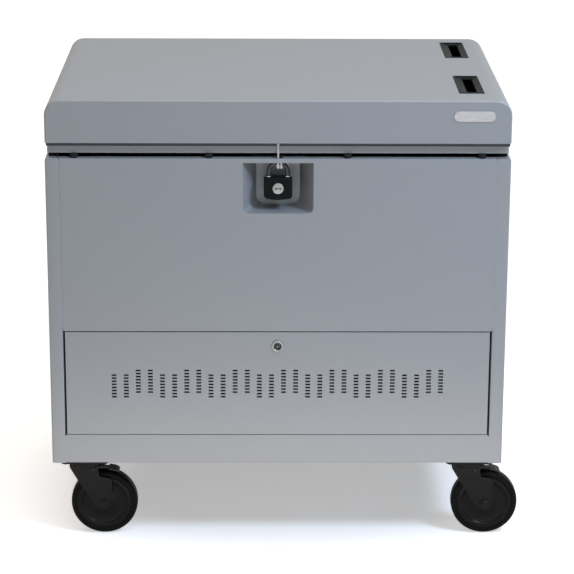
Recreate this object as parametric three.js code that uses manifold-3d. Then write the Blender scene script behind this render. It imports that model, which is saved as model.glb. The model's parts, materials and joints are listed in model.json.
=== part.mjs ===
// Laptop charging cart: a sheet-steel cabinet on four swivel casters. A lid, held shut by a padlocked
// hasp, closes the device bay, and a slotted drop-down door closes the bay for the power adapters.

import * as THREE from 'three';
import { mergeVertices } from 'three/addons/utils/BufferGeometryUtils.js';
import Module from 'manifold-3d';

const wasm = await Module();
wasm.setup();

// Driving dimensions in millimetres: x runs along the front, y back from the front face, z up

// Cabinet
const width = 846; // side to side
const depth = 606; // front to back
const height = 857.5; // floor to top of lid
const sheet = 2; // thickness of the steel
const fit = 0.3; // gap between pieces that touch
const bend = 3; // outer radius of a folded edge
const flange = 16; // folded edge of a panel, front to back
const stile = 26; // corner posts, seen from the front
const postReturn = 24; // fold of a post into the cabinet
const railHeight = 54.4; // bottom rail under the door
const panelHeight = 326; // upper front panel
const doorGap = 3.5; // beside and above the lower door
const hingeGap = 2; // below the lower door

// Lid
const lidHeight = 79.3; // skirt
const lidInset = 1; // each side of the lid inside the cabinet
const lidBend = 28; // radius of the side bends
const lidEdge = 2.5; // soft edge of the lid's front and back
const reveal = 28; // from the skirt down to the cabinet's rim
const bumperHeight = 8; // the lid's inner frame above the rim
const bumperInset = 53; // outer bumpers from the sides
const bumperSpread = 126; // inner bumpers from the middle
const leafInset = 153; // hinges from the sides
const gripLength = 157.7;
const gripWidth = 46.3;
const gripDepth = 44;
const gripInset = 45; // openings of the grips from the lid's right side
const gripPlaces = { front: 142.6, rear: depth - 124.4 }; // middles of the grips

// Lower door's slots and the fittings inside
const vent = { columns: 28, rows: 8, width: 9, height: 3.4, pitch: 6.05, columnPitch: 22.54 };
const slotCount = 16; // device slots in each row
const dividerHeight = 202;
const cordSlot = { length: 240, width: 22, beside: 5 };
const stripPlaces = { front: 188.5, rear: depth - 167.5 }; // middles of the outlet strips

// Casters
const wheelDiameter = 127;
const wheelWidth = 32;
const casterRise = 34.1; // top of the wheel to the underside of the cabinet
const casterInset = 59.5; // swivel axis from the sides and the ends
const trail = 33.5; // axle behind the swivel axis

// Heights and edges that follow from them
const halfWidth = width / 2;
const base = wheelDiameter + casterRise;
const skirt = height - lidHeight;
const rim = skirt - reveal;
const frameBottom = rim + bumperHeight;
const postEdge = halfWidth - stile;
const panelBottom = rim - panelHeight;
const shelf = panelBottom + sheet + fit;
const shelfTop = shelf + sheet;
const doorTop = panelBottom - doorGap;
const railTop = base + railHeight;
const doorBottom = railTop + hingeGap;
const doorEdge = postEdge - doorGap;
const innerBend = Math.max(bend - sheet, 0);
const over = 1; // how far a cut runs past the face that it opens

// Solids: three.js makes the shapes, and the library joins and cuts them

function solid(geometry) {
  geometry.deleteAttribute('normal');
  geometry.deleteAttribute('uv');
  const merged = mergeVertices(geometry, 1e-4);
  const vertProperties = new Float32Array(merged.attributes.position.array);
  const triVerts = new Uint32Array(merged.index.array);
  return new wasm.Manifold(new wasm.Mesh({ numProp: 3, vertProperties, triVerts }));
}

function block(x0, x1, y0, y1, z0, z1) {
  const box = new THREE.BoxGeometry(Math.abs(x1 - x0), Math.abs(y1 - y0), Math.abs(z1 - z0));
  return solid(box.translate((x0 + x1) / 2, (y0 + y1) / 2, (z0 + z1) / 2));
}

// Closed outline through corners [a, b, radius], where a radius rounds the corner with a tangent arc
function outline(corners, arcSteps = 2) {
  const points = [];
  corners.forEach(([a, b, radius = 0], i) => {
    const corner = new THREE.Vector2(a, b);
    if (radius === 0) {
      points.push(corner);
      return;
    }
    const [before, after] = [corners.at(i - 1), corners[(i + 1) % corners.length]];
    const toBefore = new THREE.Vector2(before[0] - a, before[1] - b).normalize();
    const toAfter = new THREE.Vector2(after[0] - a, after[1] - b).normalize();
    const half = Math.acos(toBefore.dot(toAfter)) / 2;
    const middle = toBefore.clone().add(toAfter).normalize();
    const centre = middle.multiplyScalar(radius / Math.sin(half)).add(corner);
    const tangent = radius / Math.tan(half);
    const start = toBefore.multiplyScalar(tangent).add(corner).sub(centre);
    const end = toAfter.multiplyScalar(tangent).add(corner).sub(centre);
    const turn = Math.sign(start.cross(end)) * (Math.PI - 2 * half);
    for (let step = 0; step <= arcSteps; step += 1) {
      const point = start.clone().rotateAround(new THREE.Vector2(), (turn * step) / arcSteps);
      points.push(point.add(centre));
    }
  });
  return points;
}

// Corners of a rectangle round a centre, all with one radius
function rectangle([a, b], halfA, halfB, radius) {
  return [
    [a - halfA, b - halfB, radius], [a + halfA, b - halfB, radius],
    [a + halfA, b + halfB, radius], [a - halfA, b + halfB, radius],
  ];
}

// Turns an extrusion so that its outline lies across the named axis, from one place to the other
function along(axis, geometry, from, to) {
  if (axis === 'x') {
    const across = new THREE.Matrix4().set(0, 0, 1, from, 1, 0, 0, 0, 0, 1, 0, 0, 0, 0, 0, 1);
    return geometry.applyMatrix4(across);
  }
  if (axis === 'y') {
    return geometry.rotateX(Math.PI / 2).translate(0, to, 0);
  }
  return geometry.translate(0, 0, from);
}

// Outline in (y, z) along x, in (x, z) along y or in (x, y) along z
function prism(axis, corners, from, to, arcSteps) {
  const shape = new THREE.Shape(outline(corners, arcSteps));
  const geometry = new THREE.ExtrudeGeometry(shape, { depth: to - from, bevelEnabled: false });
  return solid(along(axis, geometry, from, to));
}

// The same along y, with the rims of both faces rounded
function softPrism(corners, from, to, round, arcSteps) {
  const settings = { bevelSize: round, bevelThickness: round, bevelOffset: -round, bevelSegments: 1 };
  const shape = new THREE.Shape(outline(corners, arcSteps));
  const geometry = new THREE.ExtrudeGeometry(shape, { depth: to - from - 2 * round, ...settings });
  return solid(along('y', geometry, from + round, to - round));
}

// Round bar along an axis, through centre [a, b] in the plane across it
function bar(axis, radius, from, to, [a, b], sides = 16) {
  const geometry = new THREE.CylinderGeometry(radius, radius, to - from, sides);
  const middle = (from + to) / 2;
  if (axis === 'x') {
    return solid(geometry.rotateZ(Math.PI / 2).translate(middle, a, b));
  }
  if (axis === 'y') {
    return solid(geometry.translate(a, middle, b));
  }
  return solid(geometry.rotateX(Math.PI / 2).translate(a, b, middle));
}

// Profile of [radius, y] turned round an axis along y, with flats below and beside the axis
function turned(profile, sides, [x, z]) {
  const points = profile.map(([radius, y]) => new THREE.Vector2(radius, y));
  return solid(new THREE.LatheGeometry(points, sides, Math.PI / sides).translate(x, 0, z));
}

// Profile of [radius, z] turned round an upright axis
function upright(profile, sides, [x, y]) {
  const points = profile.map(([radius, z]) => new THREE.Vector2(radius, z));
  return solid(new THREE.LatheGeometry(points, sides).rotateX(Math.PI / 2).translate(x, y, 0));
}

// Skin between two outlines in (x, z) with equal numbers of points, closed at both ends
function loft(front, yFront, back, yBack) {
  const count = front.length;
  const positions = [];
  front.forEach((point) => positions.push(point.x, yFront, point.y));
  back.forEach((point) => positions.push(point.x, yBack, point.y));
  const index = [];
  THREE.ShapeUtils.triangulateShape(front, []).forEach(([a, b, c]) => {
    index.push(a, b, c, count + a, count + c, count + b);
  });
  for (let i = 0; i < count; i += 1) {
    const next = (i + 1) % count;
    index.push(i, count + i, count + next, i, count + next, next);
  }
  const geometry = new THREE.BufferGeometry();
  geometry.setAttribute('position', new THREE.Float32BufferAttribute(positions, 3));
  geometry.setIndex(index);
  return solid(geometry);
}

function joined(first, ...others) {
  return others.reduce((whole, other) => whole.add(other), first);
}

function cutFrom(first, ...cuts) {
  return cuts.reduce((whole, cut) => whole.subtract(cut), first);
}

// Finishes: colour, roughness, metalness
const finishes = {
  coat: [0xa3a7ac, 0.45, 0.2],
  galvanised: [0x9a9da0, 0.4, 0.9],
  blackPlastic: [0x1b1b1d, 0.55, 0],
  rubber: [0x2b2b2d, 0.85, 0],
  blackSteel: [0x202124, 0.5, 0.4],
  chrome: [0xd4d6d8, 0.15, 1],
  lockCover: [0x17181a, 0.6, 0],
};

const group = new THREE.Group();
const cart = new THREE.Group();
group.add(cart);

function piece(name, form, finish, parent = cart) {
  const mesh = form.getMesh();
  const geometry = new THREE.BufferGeometry();
  geometry.setAttribute('position', new THREE.BufferAttribute(mesh.vertProperties, 3));
  geometry.setIndex(new THREE.BufferAttribute(mesh.triVerts, 1));
  geometry.computeVertexNormals();
  const [color, roughness, metalness] = finishes[finish];
  const material = new THREE.MeshStandardMaterial({ color, roughness, metalness });
  const made = new THREE.Mesh(geometry, material);
  made.name = name;
  parent.add(made);
}

// Cabinet shell

// Side sheet, folded round both corners into posts with a return, and over at the rim
function sidePanel(side) {
  const corner = bend + 1;
  const [inside, lining] = [halfWidth - sheet, postEdge + sheet];
  const plan = [
    [postEdge, postReturn], [postEdge, 0, bend], [halfWidth, 0, corner],
    [halfWidth, depth, corner], [postEdge, depth, bend], [postEdge, depth - postReturn],
    [lining, depth - postReturn], [lining, depth - sheet],
    [inside, depth - sheet, innerBend + 1], [inside, sheet, innerBend + 1],
    [lining, sheet], [lining, postReturn],
  ];
  const wall = prism('z', plan.map(([x, y, r]) => [side * x, y, r]), base, rim);
  const weld = sheet / 2;
  const fold = block(side * (lining + over), side * (halfWidth - weld), weld, depth - weld, rim - sheet, rim);
  const hull = [[postEdge - over, base], [halfWidth, base], [halfWidth, rim, corner], [postEdge - over, rim]];
  const rounded = prism('y', hull.map(([x, z, r]) => [side * x, z, r]), -over, depth + over);
  return joined(wall, fold).intersect(rounded);
}

piece('side_panel_left', sidePanel(-1), 'coat');
piece('side_panel_right', sidePanel(1), 'coat');

// A floor that fills the cabinet between the posts at its front and rear
function deck(z0, z1, front, rear, frontEdge) {
  const wide = halfWidth - sheet - fit;
  const narrow = postEdge - fit;
  const [clearFront, clearRear] = [postReturn + fit, depth - postReturn - fit];
  return joined(
    block(-wide, wide, clearFront, clearRear, z0, z1),
    block(-frontEdge, frontEdge, front, clearFront + over, z0, z1),
    block(-narrow, narrow, clearRear - over, rear, z0, z1),
  );
}

// Outline of a sheet folded back along its top and bottom edges
function channel(bottom, top, reachBelow, reachAbove) {
  return [
    [reachAbove, top], [0, top, bend], [0, bottom, bend], [reachBelow, bottom],
    [reachBelow, bottom + sheet], [sheet, bottom + sheet, innerBend], [sheet, top - sheet, innerBend],
    [reachAbove, top - sheet],
  ];
}

// Bottom sheet, folded up into the plain rail under the door
function basePan() {
  const reach = postReturn + flange;
  const edge = postEdge - fit;
  const floor = deck(base, base + sheet, postReturn, depth - sheet - fit, edge);
  return joined(floor, prism('x', channel(base, railTop, reach, flange - 2), -edge, edge));
}

piece('base_pan', basePan(), 'coat');

// Rear sheet with vent slots low down, and the opening for the power inlet
const inlet = { inset: 113, rise: 50, width: 48, height: 28, lip: 5, proud: 2.5, body: 22 };
const socket = { half: 12, halfHeight: 8.5, depth: 16 };
inlet.x = halfWidth - inlet.inset;
inlet.z = base + inlet.rise;
const rearVent = { length: 80, height: 6, pitch: 16, rows: 6, belowShelf: 50 };

function rearPanel() {
  const fold = [
    [depth - flange, rim - sheet], [depth - flange, rim], [depth, rim, bend], [depth, base],
    [depth - sheet, base], [depth - sheet, rim - sheet, innerBend],
  ];
  const [near, far] = [depth - sheet - over, depth + over];
  const cuts = [];
  [-1, 1].forEach((side) => {
    for (let row = 0; row < rearVent.rows; row += 1) {
      const centre = [(side * postEdge) / 2, panelBottom - rearVent.belowShelf - row * rearVent.pitch];
      cuts.push(prism('y', rectangle(centre, rearVent.length / 2, rearVent.height / 2), near, far));
    }
  });
  const inletHole = rectangle([inlet.x, inlet.z], inlet.width / 2 + fit, inlet.height / 2 + fit);
  cuts.push(prism('y', inletHole, near, far));
  return cutFrom(prism('x', fold, -postEdge + fit, postEdge - fit), ...cuts);
}

piece('rear_panel', rearPanel(), 'coat');

// Floor of the device bay, with a lip behind the door and slots behind the racks for the cords
const rackFront = postReturn + 4;
const cordGap = cordSlot.width + 2 * cordSlot.beside;
const rackDepth = (depth - sheet - rackFront - 2 * cordGap) / 2;
const rackFronts = { front: rackFront, rear: rackFront + rackDepth + cordGap };
const lipFront = flange + 2;

function midShelf() {
  const lipHalf = doorEdge - flange;
  const lip = block(-lipHalf, lipHalf, lipFront, lipFront + sheet, doorTop - flange, shelf + sheet / 2);
  const floor = deck(shelf, shelfTop, sheet + fit, depth - sheet - fit, postEdge - sheet - 2 * fit);
  const round = cordSlot.width / 3;
  const cuts = [];
  Object.values(rackFronts).forEach((front) => {
    [-1, 1].forEach((side) => {
      const centre = [(side * postEdge) / 2, front + rackDepth + cordGap / 2];
      const slot = rectangle(centre, cordSlot.length / 2, cordSlot.width / 2, round);
      cuts.push(prism('z', slot, shelf - over, shelfTop + over));
    });
  });
  return cutFrom(joined(floor, lip), ...cuts);
}

piece('mid_shelf', midShelf(), 'coat');

// Hasp: the shackle hangs with its bow along x, through the lid's tab and a staple beside it
const bow = { y: 15, z: rim - 10.8, radius: 17, wire: 4 };
const shackleHole = bow.wire + 2;
const tab = { half: 1.75, front: bow.y - 11, back: bow.y + 11, bottom: bow.z - 11.2, top: skirt + 11 };
const tabSlot = 9; // half width of the way through for the tab

// Upper front panel, folded on all sides, with the opening of the lock recess
const recess = { half: 64.5, height: 94.6, drop: 8.5, corner: 10, wall: 1.5, roofSkin: 1.1, collar: 12 };
const recessEnd = { y: 44, half: 40, corner: 18, rise: 7 }; // back of the recess
recess.top = rim - recess.drop;
recess.bottom = recess.top - recess.height;
recess.roof = rim - sheet - fit - recess.roofSkin;

function upperPanel() {
  const edge = postEdge - fit;
  const sides = [-1, 1].map((side) =>
    block(side * (edge - sheet), side * edge, sheet / 2, postReturn - 4, shelfTop + fit, rim - sheet / 2));
  const opening = [
    [-recess.half, recess.top, bend / 2], [recess.half, recess.top, bend / 2],
    [recess.half, recess.bottom, recess.corner], [-recess.half, recess.bottom, recess.corner],
  ];
  return cutFrom(
    joined(prism('x', channel(panelBottom, rim, flange, flange), -edge, edge), ...sides),
    prism('y', opening, -over, sheet + over),
    block(-tabSlot, tabSlot, bend, flange + over, rim - sheet - over, rim + over),
  );
}

piece('upper_front_panel', upperPanel(), 'coat');

// Scooped cup behind the opening, with a collar that lies on the back of the panel
function lockRecess() {
  const cup = (half, bottom, round, grow) => {
    const top = recess.roof + Math.min(grow, recess.roofSkin);
    const wide = half + grow;
    const low = bottom - grow;
    return outline([[-wide, low, round + grow], [wide, low, round + grow], [wide, top], [-wide, top]], 4);
  };
  const [front, back, floorBack] = [sheet + fit, recessEnd.y, recess.bottom + recessEnd.rise];
  const mouth = (grow) => cup(recess.half, recess.bottom, recess.corner, grow);
  const end = (grow) => cup(recessEnd.half, floorBack, recessEnd.corner, grow);
  const hollow = loft(mouth(0), front - over, end(0), back);
  const body = loft(mouth(recess.wall), front, end(recess.wall), back + recess.wall);
  const wide = recess.half + recess.collar;
  const top = recess.roof + recess.roofSkin;
  const collar = block(-wide, wide, front, front + recess.wall, recess.bottom - recess.collar, top);
  const tabWay = block(-tabSlot, tabSlot, front - over, tab.back + 3, recess.roof - over, rim);
  return cutFrom(joined(body, collar), hollow, tabWay);
}

piece('lock_recess', lockRecess(), 'coat');

// Plate beside the lid's tab that carries the shackle, on a foot against the recess's back
function haspStaple() {
  const [left, right, reach] = [4, 7, 10];
  const [roof, back] = [recess.roof - fit, recessEnd.y - fit];
  const side = [
    [back, bow.z - 15], [back, roof], [bow.y - reach, roof, 4],
    [bow.y - reach, bow.z - 11, 6], [bow.y + reach, bow.z - 11, 6],
  ];
  const foot = rectangle([8, bow.z - 8], 12, 10, 4);
  return cutFrom(
    joined(prism('x', side, left, right), prism('y', foot, back - sheet, back)),
    bar('x', shackleHole, left - over, right + over, [bow.y, bow.z - 0.7], 12),
  );
}

piece('hasp_staple', haspStaple(), 'galvanised');

// Rubber bumpers on the panel's top fold, which the lid's inner frame rests on
const bumperOuter = halfWidth - bumperInset;

[-bumperOuter, -bumperSpread, bumperSpread, bumperOuter].forEach((x, i) => {
  const [radius, foot, stop] = [7, rim + fit, frameBottom - fit];
  const profile = [[0, foot], [radius, foot], [radius, stop - 2], [radius - 1.5, stop], [0, stop]];
  piece(`lid_bumper_${i + 1}`, upright(profile, 10, [x, flange / 2 + 0.5]), 'rubber');
});

// Lid

const lidHalf = halfWidth - lidInset;
const grip = { left: lidHalf - gripInset - gripWidth, right: lidHalf - gripInset };

// Top sheet with wide bends along its sides, and a skirt all round
function lidShell() {
  const below = skirt - 2 * lidEdge;
  const hood = (half, top, round) => [[-half, below], [half, below], [half, top, round], [-half, top, round]];
  const outer = hood(lidHalf, height, lidBend);
  const inner = hood(lidHalf - sheet, height - sheet, lidBend - sheet);
  const openings = Object.values(gripPlaces).map((middle) => block(grip.left, grip.right,
    middle - gripLength / 2, middle + gripLength / 2, height - sheet - over, height + over));
  return cutFrom(
    softPrism(outer, 0, depth, lidEdge, 6),
    prism('y', inner, sheet, depth - sheet, 6),
    block(-halfWidth, halfWidth, -over, depth + over, below - over, skirt),
    ...openings,
  );
}

piece('lid_shell', lidShell(), 'coat');

// Ring under the lid: welded to the skirt by its upper fold, stepped in, and folded in below
const frameInset = { side: 3.5, end: 10 };

function lidFrame() {
  const half = lidHalf - frameInset.side;
  const [front, back] = [frameInset.end, depth - frameInset.end];
  const fold = flange + 2;
  const top = skirt + 15;
  const ring = (inward, z0, z1) => block(-half, half, front, back, z0, z1)
    .subtract(block(-half + inward, half - inward, front + inward, back - inward, z0 - over, z1 + over));
  const reach = lidHalf - sheet - fit;
  const weld = block(-reach, reach, sheet + fit, depth - sheet - fit, top - sheet, top)
    .subtract(block(-half + over, half - over, front + over, back - over, top - sheet - over, top + over));
  const tabWay = block(-tab.half - fit, tab.half + fit, 0, tab.back + fit, frameBottom - over, tab.top + fit);
  const folded = joined(ring(sheet, frameBottom, top), ring(fold, frameBottom, frameBottom + sheet), weld);
  return folded.subtract(tabWay);
}

piece('lid_inner_frame', lidFrame(), 'coat');

// Tab that drops through the panel's top fold, with the hole for the shackle
function haspTab() {
  const round = 7;
  const blade = [
    [tab.front, tab.bottom, round], [tab.back, tab.bottom, round], [tab.back, tab.top], [tab.front, tab.top],
  ];
  const inner = frameInset.end + sheet + fit;
  const footHalf = 16;
  const foot = block(-footHalf, footHalf, inner, inner + sheet, frameBottom + sheet + fit, tab.top);
  return prism('x', blade, -tab.half, tab.half)
    .subtract(bar('x', shackleHole, -tab.half - over, tab.half + over, [bow.y, bow.z], 12))
    .add(foot);
}

piece('hasp_tab', haspTab(), 'galvanised');

// Moulded grip: a floor that slopes down to a finger pocket under the lid's edge
function handleCup(middle) {
  const under = height - sheet - fit;
  const [left, right] = [grip.left + fit, grip.right - fit];
  const [pocket, floor, wall] = [right + 16, height - gripDepth, 2];
  const half = gripLength / 2 - fit;
  const body = [
    [left, height], [right, height], [right, under], [pocket, under], [pocket, floor + 4, 6],
    [right + 2, floor - 2, 6], [left - 6, height - 10], [left - 6, under], [left, under],
  ];
  const hollow = [
    [left + wall, height + over], [right - wall, height + over], [right - wall, under - wall],
    [pocket - wall, under - wall], [pocket - wall, floor + 6, 4], [right + 2, floor + 1, 4],
    [left + wall, height - 5],
  ];
  return prism('y', body, middle - half, middle + half)
    .subtract(prism('y', hollow, middle - half + wall, middle + half - wall));
}

Object.entries(gripPlaces).forEach(([place, middle]) => {
  piece(`handle_cup_${place}`, handleCup(middle), 'blackPlastic');
});

// Lid hinges on the back: two knuckles on the cabinet's leaf, one between them on the lid's
const hinge = { half: 40, middle: 14, knuckle: 5.5, pin: 3, leaf: 2.5, reach: 58, corner: 8 };
hinge.y = depth + fit + hinge.knuckle;
hinge.z = rim + reveal / 2;

function hingeLeaf(x, up) {
  const { half, middle } = hinge;
  const [near, far] = [depth + fit, depth + fit + hinge.leaf];
  const end = hinge.z + up * hinge.reach;
  const clear = hinge.z + up * (hinge.knuckle + fit);
  const plate = [
    [x - half, hinge.z], [x - half, end, hinge.corner], [x + half, end, hinge.corner], [x + half, hinge.z],
  ];
  const centre = [hinge.y, hinge.z];
  const knuckles = up > 0 ? [[fit - middle, middle - fit]] : [[-half, -middle], [middle, half]];
  const gaps = up > 0 ? [[-half - over, fit - middle], [middle - fit, half + over]] : [[-middle, middle]];
  const leaf = cutFrom(
    prism('y', plate, near, far),
    ...gaps.map(([from, to]) => block(x + from, x + to, near - over, far + over, hinge.z - up, clear)),
  );
  const rolled = joined(leaf, ...knuckles.map(([from, to]) =>
    bar('x', hinge.knuckle, x + from, x + to, centre, 12)));
  return rolled.subtract(bar('x', hinge.pin + fit, x - half - over, x + half + over, centre, 12));
}

[['left', leafInset - halfWidth], ['right', halfWidth - leafInset]].forEach(([side, x]) => {
  piece(`hinge_leaf_body_${side}`, hingeLeaf(x, -1), 'galvanised');
  piece(`hinge_leaf_lid_${side}`, hingeLeaf(x, 1), 'galvanised');
  const reach = hinge.half + hinge.pin / 2;
  const pin = bar('x', hinge.pin, x - reach, x + reach, [hinge.y, hinge.z], 12);
  piece(`hinge_pin_${side}`, pin, 'galvanised');
});

// Padlock

const lockCase = { half: 26, front: bow.y - 11, back: bow.y + 11, top: rim - 36.5, bottom: rim - 79 };
const lockPlate = { radius: 10, depth: 12.5, proud: 0.6, z: (lockCase.top + lockCase.bottom) / 2 + 0.5 };
const legEnds = { long: lockCase.top - 26, short: lockCase.top - 11 };

// Route of the shackle's wire: up the long leg, round the bow and down the short leg
class Shackle extends THREE.Curve {
  getPoint(t, target = new THREE.Vector3()) {
    const shoulder = bow.z - bow.radius;
    const up = shoulder - legEnds.long;
    const round = Math.PI * bow.radius;
    const run = t * (up + round + shoulder - legEnds.short);
    if (run < up) {
      return target.set(-bow.radius, bow.y, legEnds.long + run);
    }
    if (run > up + round) {
      return target.set(bow.radius, bow.y, shoulder - (run - up - round));
    }
    const angle = Math.PI - (run - up) / bow.radius;
    return target.set(bow.radius * Math.cos(angle), bow.y, shoulder + bow.radius * Math.sin(angle));
  }
}

function shackle() {
  const section = new THREE.Shape(new THREE.Path().absarc(0, 0, bow.wire, 0, 2 * Math.PI).getPoints(4));
  const settings = { steps: 18, curveSegments: 1, extrudePath: new Shackle(), bevelEnabled: false };
  return solid(new THREE.ExtrudeGeometry(section, settings));
}

piece('padlock_shackle', shackle(), 'chrome');

function padlockCase() {
  const { half, front, back, top, bottom } = lockCase;
  const face = rectangle([0, (top + bottom) / 2], half, (top - bottom) / 2, 6);
  const bore = bow.wire + 0.5;
  return cutFrom(
    softPrism(face, front, back, 2),
    bar('z', bore, legEnds.long - 2, top + over, [-bow.radius, bow.y], 12),
    bar('z', bore, legEnds.short - 2, top + over, [bow.radius, bow.y], 12),
    bar('y', lockPlate.radius + fit, front - over, front + lockPlate.depth + fit, [0, lockPlate.z]),
  );
}

piece('padlock_case', padlockCase(), 'lockCover');

// Plug with its keyway, in the padlock's face
function padlockPlug() {
  const face = lockCase.front - lockPlate.proud;
  const keyway = { half: 5, halfHeight: 1.2, depth: 7 };
  const slot = rectangle([0, lockPlate.z], keyway.half, keyway.halfHeight);
  return bar('y', lockPlate.radius, face, lockCase.front + lockPlate.depth, [0, lockPlate.z])
    .subtract(prism('y', slot, face - over, face + keyway.depth));
}

piece('padlock_plug', padlockPlug(), 'chrome');

// Lower door: a slotted pan on two pivots low in its sides

const pivot = { y: 6, z: doorBottom + 7, radius: 3 };
const camLock = { z: doorTop - 28, ring: 11, proud: 2.8, barrel: 9.4, plug: 7 };

// Columns of slots, in pairs that step up and down by one and a half slots
function ventSlots() {
  const slots = [];
  const middle = (doorTop + doorBottom) / 2;
  for (let column = 0; column < vent.columns; column += 1) {
    const x = (column - (vent.columns - 1) / 2) * vent.columnPitch;
    const step = (Math.floor(column / 2) % 2 === 0 ? -0.75 : 0.75) * vent.pitch;
    for (let row = 0; row < vent.rows; row += 1) {
      const z = middle + step + (row - (vent.rows - 1) / 2) * vent.pitch;
      const slot = rectangle([x, z], vent.width / 2, vent.height / 2);
      slots.push(prism('y', slot, -over, sheet + over));
    }
  }
  return slots;
}

function lowerDoor() {
  const sides = [-1, 1].map((side) => block(side * (doorEdge - sheet), side * doorEdge, sheet / 2, flange,
    doorBottom + sheet / 2, doorTop - sheet / 2));
  const fold = channel(doorBottom, doorTop, flange, flange);
  return cutFrom(
    joined(prism('x', fold, -doorEdge, doorEdge), ...sides),
    wasm.Manifold.union(ventSlots()),
    bar('y', camLock.barrel + fit, -over, sheet + over, [0, camLock.z]),
    bar('x', pivot.radius + fit, -halfWidth, halfWidth, [pivot.y, pivot.z], 12),
  );
}

piece('lower_door', lowerDoor(), 'coat');

// Plate on the post's return, with the pin that the door turns on
function doorPivot(side) {
  const outer = postEdge - fit;
  const tall = 30;
  const back = postReturn - 2;
  const plate = [
    [bend, doorBottom], [back, doorBottom], [back, doorBottom + tall, 6], [bend, doorBottom + tall, 8],
  ];
  const inner = doorEdge + 1;
  const pinEnd = doorEdge - 7;
  const [from, to] = [side * outer, side * inner].sort((a, b) => a - b);
  const [start, end] = [side * (outer - fit), side * pinEnd].sort((a, b) => a - b);
  return prism('x', plate, from, to)
    .add(bar('x', pivot.radius, start, end, [pivot.y, pivot.z], 12));
}

piece('door_pivot_left', doorPivot(-1), 'galvanised');
piece('door_pivot_right', doorPivot(1), 'galvanised');

// Cam lock: a ringed barrel in the door, and a plug whose cam turns up behind the shelf's lip
const camFront = lipFront + sheet + 2.5;

function lockBarrel() {
  const { ring, proud, barrel } = camLock;
  const bore = camLock.plug + fit;
  const end = camFront - fit;
  const profile = [
    [bore, -proud], [ring - 1, -proud], [ring, 1 - proud], [ring, -fit], [barrel, -fit], [barrel, end],
    [bore, end], [bore, -proud],
  ];
  return turned(profile, 12, [0, camLock.z]);
}

function lockPlug() {
  const cam = { reach: 27, heel: 7, half: 6, thickness: 2.5, corner: 5 };
  const keyway = { half: 1, halfHeight: 4.5, depth: 5 };
  const face = 0.4 - camLock.proud;
  const middle = [(cam.reach - cam.heel) / 2, camLock.z];
  const arm = rectangle(middle, (cam.reach + cam.heel) / 2, cam.half, cam.corner);
  const slot = rectangle([0, camLock.z], keyway.half, keyway.halfHeight);
  return bar('y', camLock.plug, face, camFront + cam.thickness / 2, [0, camLock.z])
    .add(prism('y', arm, camFront, camFront + cam.thickness))
    .subtract(prism('y', slot, face - over, face + keyway.depth));
}

piece('cam_lock_barrel', lockBarrel(), 'chrome');
piece('cam_lock_plug', lockPlug(), 'chrome');

// Inside: two racks of dividers on the shelf, and the power gear on the floor below

const rackHalf = postEdge - 9;

function dividerRack(front) {
  const [foot, blade, plate, corner] = [shelfTop + fit, 3, 2.5, 30];
  const [top, back] = [foot + dividerHeight, front + rackDepth];
  const pitch = (2 * rackHalf - 2 * blade) / slotCount;
  const side = [[front, foot + 1], [back, foot + 1], [back, top, corner], [front, top, corner]];
  const blades = Array.from({ length: slotCount + 1 }, (_, i) => {
    const x = (i - slotCount / 2) * pitch;
    return prism('x', side, x - blade / 2, x + blade / 2, 1);
  });
  return joined(block(-rackHalf, rackHalf, front, back, foot, foot + plate), ...blades);
}

Object.entries(rackFronts).forEach(([place, front]) => {
  piece(`divider_rack_${place}`, dividerRack(front), 'blackPlastic');
});

const gearFoot = base + sheet + fit;

const strip = { inset: 57, halfDepth: 26, height: 38, round: 6, margin: 10 };
const outlet = { half: 12, halfDepth: 15, raised: 2 };

// Outlet strip with a raised outlet for each adapter of its row
function outletStrip(middle) {
  const half = postEdge - strip.inset;
  const top = gearFoot + strip.height;
  const [front, back] = [middle - strip.halfDepth, middle + strip.halfDepth];
  const side = [[front, gearFoot], [back, gearFoot], [back, top, strip.round], [front, top, strip.round]];
  const pitch = (2 * half - 2 * strip.margin) / slotCount;
  const outlets = Array.from({ length: slotCount }, (_, i) => {
    const x = (i - (slotCount - 1) / 2) * pitch;
    const [near, far] = [middle - outlet.halfDepth, middle + outlet.halfDepth];
    return block(x - outlet.half, x + outlet.half, near, far, top - over, top + outlet.raised);
  });
  return joined(prism('x', side, -half, half), ...outlets);
}

Object.entries(stripPlaces).forEach(([place, middle]) => {
  piece(`outlet_strip_${place}`, outletStrip(middle), 'blackPlastic');
});

const controller = { half: 75, halfDepth: 33, height: 96, behind: 34, bend: 4 };

// Power controller in front of the inlet, in a folded steel box
function powerController() {
  const { half, halfDepth, behind } = controller;
  const plan = rectangle([inlet.x, depth - behind - halfDepth], half, halfDepth, controller.bend);
  return prism('z', plan, gearFoot, gearFoot + controller.height);
}

piece('power_controller', powerController(), 'galvanised');

// Power inlet: a socket let into the rear panel
function powerInlet() {
  const centre = [inlet.x, inlet.z];
  const [halfX, halfZ, lip] = [inlet.width / 2, inlet.height / 2, inlet.lip];
  const outside = depth + fit;
  const face = outside + inlet.proud;
  const body = joined(
    prism('y', rectangle(centre, halfX, halfZ, 2), depth - inlet.body, outside + over),
    prism('y', rectangle(centre, halfX + lip, halfZ + lip, 4), outside, face),
  );
  const hollow = rectangle(centre, socket.half, socket.halfHeight, 3);
  return body.subtract(prism('y', hollow, face - socket.depth, face + over));
}

piece('power_inlet', powerInlet(), 'blackPlastic');

// Casters: each stands in its own group, with the swivel axis at its origin and the wheel trailing to +x

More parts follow.
